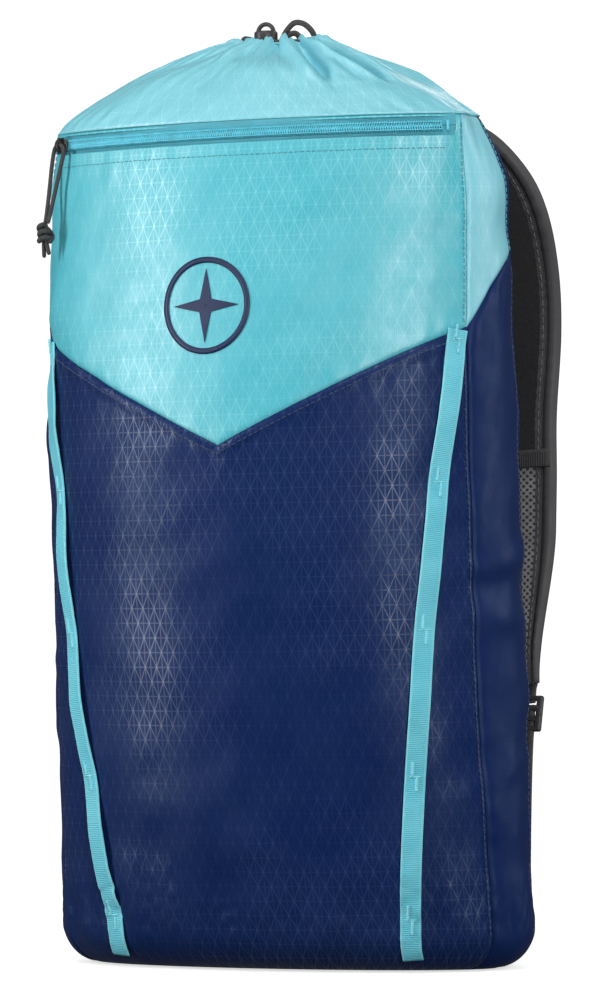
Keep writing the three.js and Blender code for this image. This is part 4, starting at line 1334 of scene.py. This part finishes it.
class DAYPACK_OT_slider(PieceOperator):
    """Builds the zip's slider: two tapered plates and the bridge."""

    bl_idname = "daypack.slider"
    bl_label = "Zip Slider"

    def execute(self, context):
        body = primitive("cube", "slider_plates", (8.0, 1.1, 8.4), (0, 2.15, 0))
        tapered(body, 0, 2, (1, 1, 0.66))
        rear = primitive("cube", "slider_rear", (7.8, 1.1, 7.8), (0, 7.25, 0))
        tapered(rear, 0, 2, (1, 1, 0.66))
        softened(body, 0.45)
        softened(rear, 0.45)
        combined(body, rear)
        moved(body, slider_matrix())
        finished(body, finish("slider"), "slider", ["zip_slider"])
        turn = np.linspace(-math.pi / 2 - 0.1, math.pi / 2 + 0.1, 25)
        arch = np.stack([0 * turn, -2.0 + 3.6 * np.cos(turn), ZIP_Z + 3.45 * np.sin(turn)], -1)
        along = np.diff(beside_slider([(0, 0, 0), (1, 0, 0)]), axis=0)
        built = Skin()
        ribbon(built, beside_slider(arch), along, 1.9, 1.0, 6)
        bridge = built.mesh("slider_bridge")
        finished(bridge, finish("slider"), "slider", ["zip_slider_bridge"])
        return {"FINISHED"}


def cord_piece(name, route, diameter, look, body, nodes):
    """A free cord along a route: its tube and its finish."""
    line = through(route, diameter * 0.3)
    built = Skin()
    tube(built, line, diameter / 2, sizes().sides)
    piece = built.mesh(name)
    finished(piece, finish(look), body, nodes)
    return piece


class DAYPACK_OT_zip_pull(PieceOperator):
    """Ties the zip's pull: one loop of cord through the bridge, with both ends in a knot."""

    bl_idname = "daypack.zip_pull"
    bl_label = "Zip Pull"

    def execute(self, context):
        diameter = sizes().pull_cord / MM
        knot = Skin()
        turn = np.linspace(0.3 * math.pi, 4.7 * math.pi, 90)
        drop = (turn - turn[0]) / (turn[-1] - turn[0])
        wide = 2.75 + 0.35 * np.sin(turn * 0.5)
        z = 360.2 - 7.0 * drop + 1.1 * np.sin(turn + 0.6)
        wraps = np.stack([wide * np.cos(turn), 9.6 + 2.6 * np.sin(turn), z], -1)
        tube(knot, beside_slider(wraps), diameter * 0.62, 12)
        crossing = through(((-2.6, 8.3, 360.8), (-0.6, 6.6, 358.6), (1.6, 6.3, 355.6), (3.0, 8.6, 353.2)), 0.5)
        tube(knot, beside_slider(crossing), diameter * 0.58, 12)
        for side, reach in ((-1, 346.4), (1, 347.6)):
            points = ((0.9, 9.4, 361), (1.0, 9.6, 356), (1.3, 9.4, 352), (2.0, 8.9, reach))
            tail = through(tuple((x * side, y, z) for x, y, z in points), 0.6)
            tube(knot, beside_slider(tail), diameter * 0.5, 10)
        knot_piece = knot.mesh("pull_knot")
        finished(knot_piece, finish("pull"), "pull", ["zip_pull_knot"])
        route = beside_slider(np.array(PULL_ROUTE))
        cord_piece("pull_cord", route, diameter, "pull", "pull", ["zip_pull_cord"])
        return {"FINISHED"}


# ---- Mouth -------------------------------------------------------------------------------------


class DAYPACK_OT_drawcord(PieceOperator):
    """Lays the drawcord's free loop through the cord lock."""

    bl_idname = "daypack.drawcord"
    bl_label = "Drawcord"

    def execute(self, context):
        diameter = sizes().drawcord / MM
        route = np.array(LOOP_ROUTE, float)
        cord_piece("drawcord_free_loop", route, diameter, "drawcord", "cord_lock", ["drawcord_loop"])
        return {"FINISHED"}


class DAYPACK_OT_cord_lock(PieceOperator):
    """Builds the cord lock: ringed barrel, button and spring."""

    bl_idname = "daypack.cord_lock"
    bl_label = "Cord Lock"

    def execute(self, context):
        x = LOCK_X
        barrel = cylinder("lock_barrel", (x, 0, 444.4), 5.7, 16, 40)
        softened(barrel, 1.3, 4, 60)
        for z in (439.6, 441.4, 443.2):
            combined(barrel, torus("groove", (x, 0, z), 5.95, 0.42, (40, 8)), "DIFFERENCE")
        combined(barrel, torus("ring", (x, 0, 451.6), 4.1, 1.1, (36, 12), (math.pi / 2, 0, 0)))
        combined(barrel, cylinder("well", (x, 0, 442.7), 4.55, 16.8), "DIFFERENCE")
        hole = primitive("cube", "hole", (14, 6.4, 3.5), (x, 0, 445.4))
        softened(hole, 1.2, 3, 60)
        combined(barrel, hole, "DIFFERENCE")
        softened(barrel, 0.18, 2, 50)
        finished(barrel, finish("lock"), "cord_lock", ["cord_lock_barrel"])
        stem = cylinder("lock_plunger", (x, 0, 439.1), 4.25, 17.4)
        head = cylinder("head", (x, 0, 430.4), 5.2, 2.0)
        softened(head, 0.7, 3, 60)
        combined(stem, head)
        combined(stem, primitive("cube", "slot", (12, 6.2, 6.6), (x, 0, 443.8)), "DIFFERENCE")
        combined(stem, cylinder("bore", (x, 0, 448.0), 2.9, 4.0), "DIFFERENCE")
        softened(stem, 0.15, 2, 50)
        finished(stem, finish("plastic"), "lock_button", ["cord_lock_button"])
        finished(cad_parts["cord_lock_spring"], finish("steel"), None)
        return {"FINISHED"}


# ---- Webbing and badge -------------------------------------------------------------------------


class DAYPACK_OT_daisy_chains(PieceOperator):
    """Sews the two daisy chains down the front, slack between their bar tacks."""

    bl_idname = "daypack.daisy_chains"
    bl_label = "Daisy Chains"

    def execute(self, context):
        z = np.linspace(7.5, CHAIN_TOP_Z + 1.5, 420)
        for side, sign in SIDES:
            angle = self.angles(z, sign)
            line = skin(angle, z, 1.0 + self.slack(z))
            across = unit(skin(angle + 0.8, z) - skin(angle - 0.8, z))
            built = Skin()
            wobble = 0.25 * ripple(z, z * 0, 60, 121 + sign)
            ribbon(built, line + across * wobble[:, None], across, 10.0, 1.1, 10)
            piece = built.mesh(side + "_chain")
            finished(piece, finish("chain"), "sack", [side + "_daisy_chain"])
            self.tacks(side, sign)
        return {"FINISHED"}

    def angles(self, z, sign):
        angle = front_angle(chain_x(z), z)
        return angle if sign > 0 else -180 - angle

    def slack(self, z):
        bow = np.zeros_like(z)
        for low, high in zip((-40,) + BARTACK_Z, BARTACK_Z):
            share = np.clip((z - low) / (high - low), 0, 1)
            bow = bow + 1.5 * np.sin(share * math.pi) ** 2
        return bow

    def tacks(self, side, sign):
        built = Skin()
        for tack in BARTACK_Z:
            for shift, rise in ((-1.2, 3.8), (1.0, -3.6)):
                z = np.linspace(tack + rise - 3.1, tack + rise + 3.1, 37)
                angle = self.angles(z, sign)
                across = unit(skin(angle + 0.8, z) - skin(angle - 0.8, z))
                line = skin(angle, z, 1.62 + self.slack(z)) + across * shift
                radii = 0.72 + 0.2 * np.cos(np.arange(37) * math.pi * 0.5)
                thin_tube(built, line, radii, 8)
            z = np.linspace(tack - 0.5, tack + 0.5, 5)
            angle = self.angles(z, sign)
            across = unit(skin(angle + 0.8, z) - skin(angle - 0.8, z))[2]
            centre = skin(angle[2], z[2], 1.6 + float(self.slack(z)[2]))
            bar = centre + across * np.linspace(-2.6, 2.6, 21)[:, None]
            thin_tube(built, bar, 0.34 + 0.12 * np.cos(np.arange(21) * math.pi * 0.5), 7)
        finished(built.mesh(side + "_bar_tacks"), finish("teal_thread"), "sack")


class DAYPACK_OT_badge(PieceOperator):
    """Prints the plain badge: a ring round a four-pointed compass star."""

    bl_idname = "daypack.badge"
    bl_label = "Printed Badge"

    def execute(self, context):
        x, z, waist, tip = (BADGE[key] for key in ("x", "z", "waist", "tip"))
        built = Skin()
        turn = np.linspace(0, 2 * math.pi, 145)
        self.print(built, x, z, BADGE["inner"] + 0 * turn, BADGE["outer"] + 0 * turn, turn, 3)
        folded = np.abs(np.mod(turn + math.pi / 4, math.pi / 2) - math.pi / 4)
        slope = tip * np.sin(folded) + waist * np.sin(math.pi / 4 - folded)
        star = waist * tip * math.sin(math.pi / 4) / slope
        self.print(built, x, z, 0.02 * star, star, turn, 12)
        piece = built.mesh("compass_badge")
        thickened(piece, 0.0002)
        finished(piece, finish("badge"), "sack")
        return {"FINISHED"}

    def print(self, built, x, z, inner, outer, turn, rings):
        reach = inner + (outer - inner) * np.linspace(0, 1, rings)[:, None]
        across, up = x + reach * np.sin(turn), z + reach * np.cos(turn)
        grid = skin(front_angle(across, up), up, 0.22)
        built.sheet(grid[::-1], across[::-1], up[::-1])


# ---- Straps ------------------------------------------------------------------------------------


def strap_frame(sign):
    """Centre line, width direction and outward direction of one strap."""
    line = through(STRAP_ROUTE, 1.9) * np.array([sign, 1, 1])
    tangents = unit(np.gradient(line, axis=0))
    across = np.array([1.0, 0, 0]) - tangents * tangents[:, :1]
    across = unit(across)
    out = np.cross(across, tangents)
    return line, across, out * np.where(out[:, 1:2] < 0, -1, 1), lengths(line) / lengths(line)[-1]


def strap_width(share):
    root = 1 - 0.17 * (1 - smoothstep(share, 0, 0.14))
    return 48 * root * (1 - 0.45 * smoothstep(share, 0.72, 1))


class DAYPACK_OT_straps(PieceOperator):
    """Builds both shoulder straps: foam under mesh, with a bound and stitched edge."""

    bl_idname = "daypack.straps"
    bl_label = "Shoulder Straps"

    def execute(self, context):
        for side, sign in SIDES:
            self.strap(side, sign)
            self.strap_trim(side, sign)
        return {"FINISHED"}

    def strap(self, side, sign):
        line, across, out, share = strap_frame(sign)
        width = strap_width(share)[:, None]
        from_edge = np.array([0, 0.35, 1.1, 2.2, 3.6, 5.2, 6.2, 7.0, 7.8, 8.8, 10.2, 12.4, 15.5, 19.5, 24.0])
        half = np.concatenate([from_edge, STRAP_SPAN - from_edge[-2::-1]])
        place = half / STRAP_SPAN
        edge = np.minimum(half, STRAP_SPAN - half)
        rim = 3.3 * np.sqrt(np.clip(1 - ((3.3 - np.minimum(edge, 3.3)) / 3.3) ** 2, 0, 1))
        core = 4.5 * (1 - np.exp(-np.clip(edge - 7.5, 0, None) / 3.5))
        channel = np.where(edge < 5.6, rim, np.maximum(2.3, core))
        channel = np.where(np.abs(edge - 6.9) < 1.0, 1.5, channel)
        along = lengths(line)[:, None]
        pucker = 0.5 * np.sin(along / 5.6 * 2 * math.pi + 3 * ripple(along, along * 0, 40, 131))
        pucker = pucker * (near(edge, 9.6, 3.0) + 0.6 * near(edge, 4.0, 1.8))[None]
        swell = 0.5 * ripple(along, half[None] * 1.5, 38, 133)
        finish_off = 1 - 0.45 * smoothstep(share, 0.93, 1.0)[:, None]
        puffed = (pucker + swell * smoothstep(edge, 4, 14)[None]) * (edge[None] > 0.4)
        thick = (channel[None] + puffed) * finish_off
        top = (place[None] - 0.5) * width
        outer = line[:, None] + top[..., None] * across[:, None] + thick[..., None] * out[:, None]
        inner = line[:, None] + top[..., None] * across[:, None] - thick[..., None] * out[:, None]
        rings = np.concatenate([outer, inner[:, -2:0:-1]], 1)
        v = np.concatenate([half, half[-2:0:-1], [0]])
        around = rings.shape[1]
        index = np.arange(around)
        mid_edge = np.concatenate([edge, edge[-2:0:-1]])
        far = np.maximum(mid_edge, np.roll(mid_edge, -1))
        inside = index >= len(half) - 1
        high = lengths(line)[:-1, None] < 168
        face = np.where(inside[None], np.where(high, 1, 3), 0)
        region = np.where((far < 7.1)[None], 0, np.where((far < 10.3)[None], 2, face))
        built = Skin()
        built.loft(rings, lengths(line), v, finish=region)
        piece = built.mesh(side + "_strap_padding")
        looks = [finish(look) for look in ("shell", "fine_mesh", "binding", "coarse_mesh")]
        finished(piece, looks, side + "_strap", [side + "_strap_pad"])

    def strap_trim(self, side, sign):
        line, across, out, share = strap_frame(sign)
        width = strap_width(share)
        thread = Skin()
        for edge_side in (-1, 1):
            for face in (-1, 1):
                reach = (width / 2 - 8.4 * width / 48) * edge_side
                row = line + across * reach[:, None] + out * (face * 2.7)
                stitches(thread, row[3:-6], 4.2, 3.0, 0.3, lift=out[3:-6] * face)
        finished(thread.mesh(side + "_strap_stitches"), finish("grey_thread"), side + "_strap")
        built = Skin()
        lower = share > 0.5
        tail = np.array(STRAP_TAIL) * (sign, 1, 1)
        path = np.vstack([(line + out * 5.3)[lower], tail])
        ribbon(built, path, np.vstack([across[lower], across[-1:].repeat(len(STRAP_TAIL), 0)]), 20.0, 1.6, 12)
        step = np.linspace(-0.46, 0.46, 25)
        middle = int(np.argmin(np.abs(lengths(line) - 168)))
        sunk = out[middle] * 4.9 * (1 - (2 * step[:, None]) ** 6 * 0.35)
        cross = line[middle] + across[middle] * (step * width[middle])[:, None] - sunk
        ribbon(built, cross, np.gradient(line, axis=0)[middle], 9.0, 1.3, 6)
        piece = built.mesh(side + "_strap_webbing")
        finished(piece, finish("charcoal"), side + "_strap")


class DAYPACK_OT_ladder_locks(PieceOperator):
    """Builds the two ladder locks: a plate with three slots and a grip."""

    bl_idname = "daypack.ladder_locks"
    bl_label = "Ladder Locks"

    def execute(self, context):
        for side, sign in SIDES:
            plate = primitive("cube", side + "_ladder", (28, 3.0, 18), (0, 0, 0))
            softened(plate, 1.2, 4)
            for z in (-5.2, 0, 5.2):
                slot = primitive("cube", "slot", (22, 8, 2.8), (0, 0, z))
                combined(plate, slot, "DIFFERENCE")
            combined(plate, cylinder("grip", (0, -1.1, 3.0), 1.1, 24, 14, (0, math.pi / 2, 0)))
            softened(plate, 0.3, 2)
            lean = Matrix.Rotation(-math.atan2(8, 25), 4, "X")
            moved(plate, Matrix.Translation(Vector((sign * 97.4, 52.4, 118.5)) * MM) @ lean)
            finished(plate, finish("plastic"), side + "_strap", [side + "_ladder_lock"])
        return {"FINISHED"}


class DAYPACK_OT_rear_webbing(PieceOperator):
    """Sews on the adjuster webbing, the haul loop and the yoke."""

    bl_idname = "daypack.rear_webbing"
    bl_label = "Rear Webbing"

    def execute(self, context):
        for side, sign in SIDES:
            line = through(ADJUSTER_ROUTE, 2.0) * np.array([sign, 1, 1])
            built = Skin()
            ribbon(built, line, (1, 0, 0), 20.0, 1.6, 12)
            piece = built.mesh(side + "_adjuster")
            finished(piece, finish("charcoal"), None, [side + "_adjuster_webbing"])
            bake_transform(piece)
        route = np.array([(x, 52.0, z) for x, z in HAUL_ROUTE])
        line = through(route, 1.5)
        built = Skin()
        ribbon(built, line, (0, 1, 0), 6.0, 2.2, 6)
        finished(built.mesh("haul_loop_webbing"), finish("haul"), "haul_loop", ["haul_loop"])
        degrees = np.linspace(38, 142, 90)
        rows = spread(387, 402, 1.2)[:, None]
        grid = skin(degrees, rows + 0 * degrees, 2.0 + 0 * rows)
        built = Skin()
        built.sheet(grid, lengths(grid[0])[None], rows - 387 + 0 * degrees)
        piece = built.mesh("yoke_webbing")
        thickened(piece, 0.0016)
        finished(piece, finish("yoke"), "sack", ["harness_yoke"])
        return {"FINISHED"}


# ---- Stage -------------------------------------------------------------------------------------


class DAYPACK_OT_stage(PieceOperator):
    """Sets the pale floor, the soft studio lights and the camera."""

    bl_idname = "daypack.stage"
    bl_label = "Studio"

    def execute(self, context):
        self.floor()
        self.world()
        self.softbox("Left softbox", -50, 1.35, 0.42, (0.26, 1.3), 13)
        self.softbox("Right softbox", 40, 1.9, 0.46, (0.4, 1.3), 21)
        self.softbox("Side softbox", 112, 1.6, 0.6, (0.5, 1.2), 8)
        self.softbox("Key softbox", 8, 1.4, 2.5, (1.5, 1.0), 28)
        self.softbox("Back softbox", 190, 1.6, 1.4, (1.2, 0.8), 9)
        self.camera()
        return {"FINISHED"}

    def floor(self):
        bpy.ops.object.select_all(action="DESELECT")
        circle = {"radius": 0.55, "vertices": 128, "fill_type": "NGON"}
        bpy.ops.mesh.primitive_circle_add(location=(0, 0, -0.0004), **circle)
        plane = bpy.context.active_object
        plane.name = "floor"
        material, graph, shader, uv, place = new_material("Pale Floor", 0.9)
        tone = graph.mix(graph.noise(place, 3.0), (0.9, 0.9, 0.9, 1), (0.93, 0.93, 0.93, 1))
        graph.put(shader.inputs["Base Color"], tone)
        shader.inputs["Emission Color"].default_value = (1, 1, 1, 1)
        shader.inputs["Emission Strength"].default_value = 0.62
        plane.data.materials.append(material)
        plane.visible_diffuse = False
        plane.visible_glossy = False

    def world(self):
        world = bpy.data.worlds.new("Studio")
        world.use_nodes = True
        graph = Graph(world.node_tree)
        ambient = world.node_tree.nodes["Background"]
        ambient.inputs["Color"].default_value = (1, 1, 1, 1)
        ambient.inputs["Strength"].default_value = 0.1
        backdrop = graph.node("Background")
        backdrop.inputs["Color"].default_value = (1, 1, 1, 1)
        backdrop.inputs["Strength"].default_value = 1.1
        chooser = graph.node("MixShader")
        graph.put(chooser.inputs[0], graph.node("LightPath").outputs["Is Camera Ray"])
        graph.put(chooser.inputs[1], ambient.outputs[0])
        graph.put(chooser.inputs[2], backdrop.outputs[0])
        graph.put(world.node_tree.nodes["World Output"].inputs["Surface"], chooser.outputs[0])
        bpy.context.scene.world = world
        bpy.context.scene.view_settings.view_transform = "Standard"

    def softbox(self, name, azimuth, distance, height, size, power):
        """A soft light at an azimuth from the front, towards the right."""
        turn = math.radians(azimuth)
        place = Vector((distance * math.sin(turn), -distance * math.cos(turn), height))
        light = bpy.data.lights.new(name, "AREA")
        light.shape = "RECTANGLE"
        light.size, light.size_y = size
        light.energy = power
        piece = bpy.data.objects.new(name, light)
        bpy.context.scene.collection.objects.link(piece)
        piece.location = place
        piece.rotation_euler = (Vector((0, 0, 0.24)) - place).to_track_quat("-Z", "Y").to_euler()

    def camera(self):
        azimuth, elevation, roll = (math.radians(angle) for angle in CAMERA_ANGLES)
        right = Vector((math.cos(azimuth), math.sin(azimuth), 0))
        level = math.cos(elevation)
        ahead = Vector((-math.sin(azimuth) * level, math.cos(azimuth) * level, -math.sin(elevation)))
        up = right.cross(ahead)
        x = right * math.cos(roll) - up * math.sin(roll)
        y = right * math.sin(roll) + up * math.cos(roll)
        camera = bpy.data.cameras.new("Camera")
        camera.lens = CAMERA_LENS
        camera.sensor_width = 36
        camera.shift_x = CAMERA_SHIFT
        camera.clip_end = 100
        piece = bpy.data.objects.new("Camera", camera)
        bpy.context.scene.collection.objects.link(piece)
        turn = Matrix((x, y, -ahead)).transposed().to_4x4()
        piece.matrix_world = Matrix.Translation(Vector((0, 0, 0.225)) - ahead * CAMERA_DISTANCE) @ turn
        bpy.context.scene.camera = piece


PIECES = (
    DAYPACK_OT_front_panels,
    DAYPACK_OT_side_and_back_panels,
    DAYPACK_OT_seams,
    DAYPACK_OT_collar,
    DAYPACK_OT_zip,
    DAYPACK_OT_slider,
    DAYPACK_OT_zip_pull,
    DAYPACK_OT_drawcord,
    DAYPACK_OT_cord_lock,
    DAYPACK_OT_daisy_chains,
    DAYPACK_OT_badge,
    DAYPACK_OT_straps,
    DAYPACK_OT_ladder_locks,
    DAYPACK_OT_rear_webbing,
    DAYPACK_OT_stage,
)


class DAYPACK_PT_sidebar(bpy.types.Panel):
    """Lists the daypack's settings and its pieces."""

    bl_label = "Daypack"
    bl_idname = "DAYPACK_PT_sidebar"
    bl_space_type = "VIEW_3D"
    bl_region_type = "UI"
    bl_category = "Daypack"

    def draw(self, context):
        layout = self.layout
        for settings in (context.scene.daypack_sizes, context.scene.daypack_colours):
            box = layout.box()
            for name in settings.__annotations__:
                box.prop(settings, name)
        for operator in PIECES:
            layout.operator(operator.bl_idname)


CLASSES = (DaypackColours, DaypackSizes, *PIECES, DAYPACK_PT_sidebar)


def register():
    for cls in CLASSES:
        bpy.utils.register_class(cls)
    bpy.types.Scene.daypack_colours = PointerProperty(type=DaypackColours)
    bpy.types.Scene.daypack_sizes = PointerProperty(type=DaypackSizes)


def unregister():
    del bpy.types.Scene.daypack_sizes
    del bpy.types.Scene.daypack_colours
    for cls in reversed(CLASSES):
        bpy.utils.unregister_class(cls)


def main():
    register()
    for operator in PIECES:
        group, name = operator.bl_idname.split(".")
        getattr(getattr(bpy.ops, group), name)()


if __name__ == "__main__":
    main()
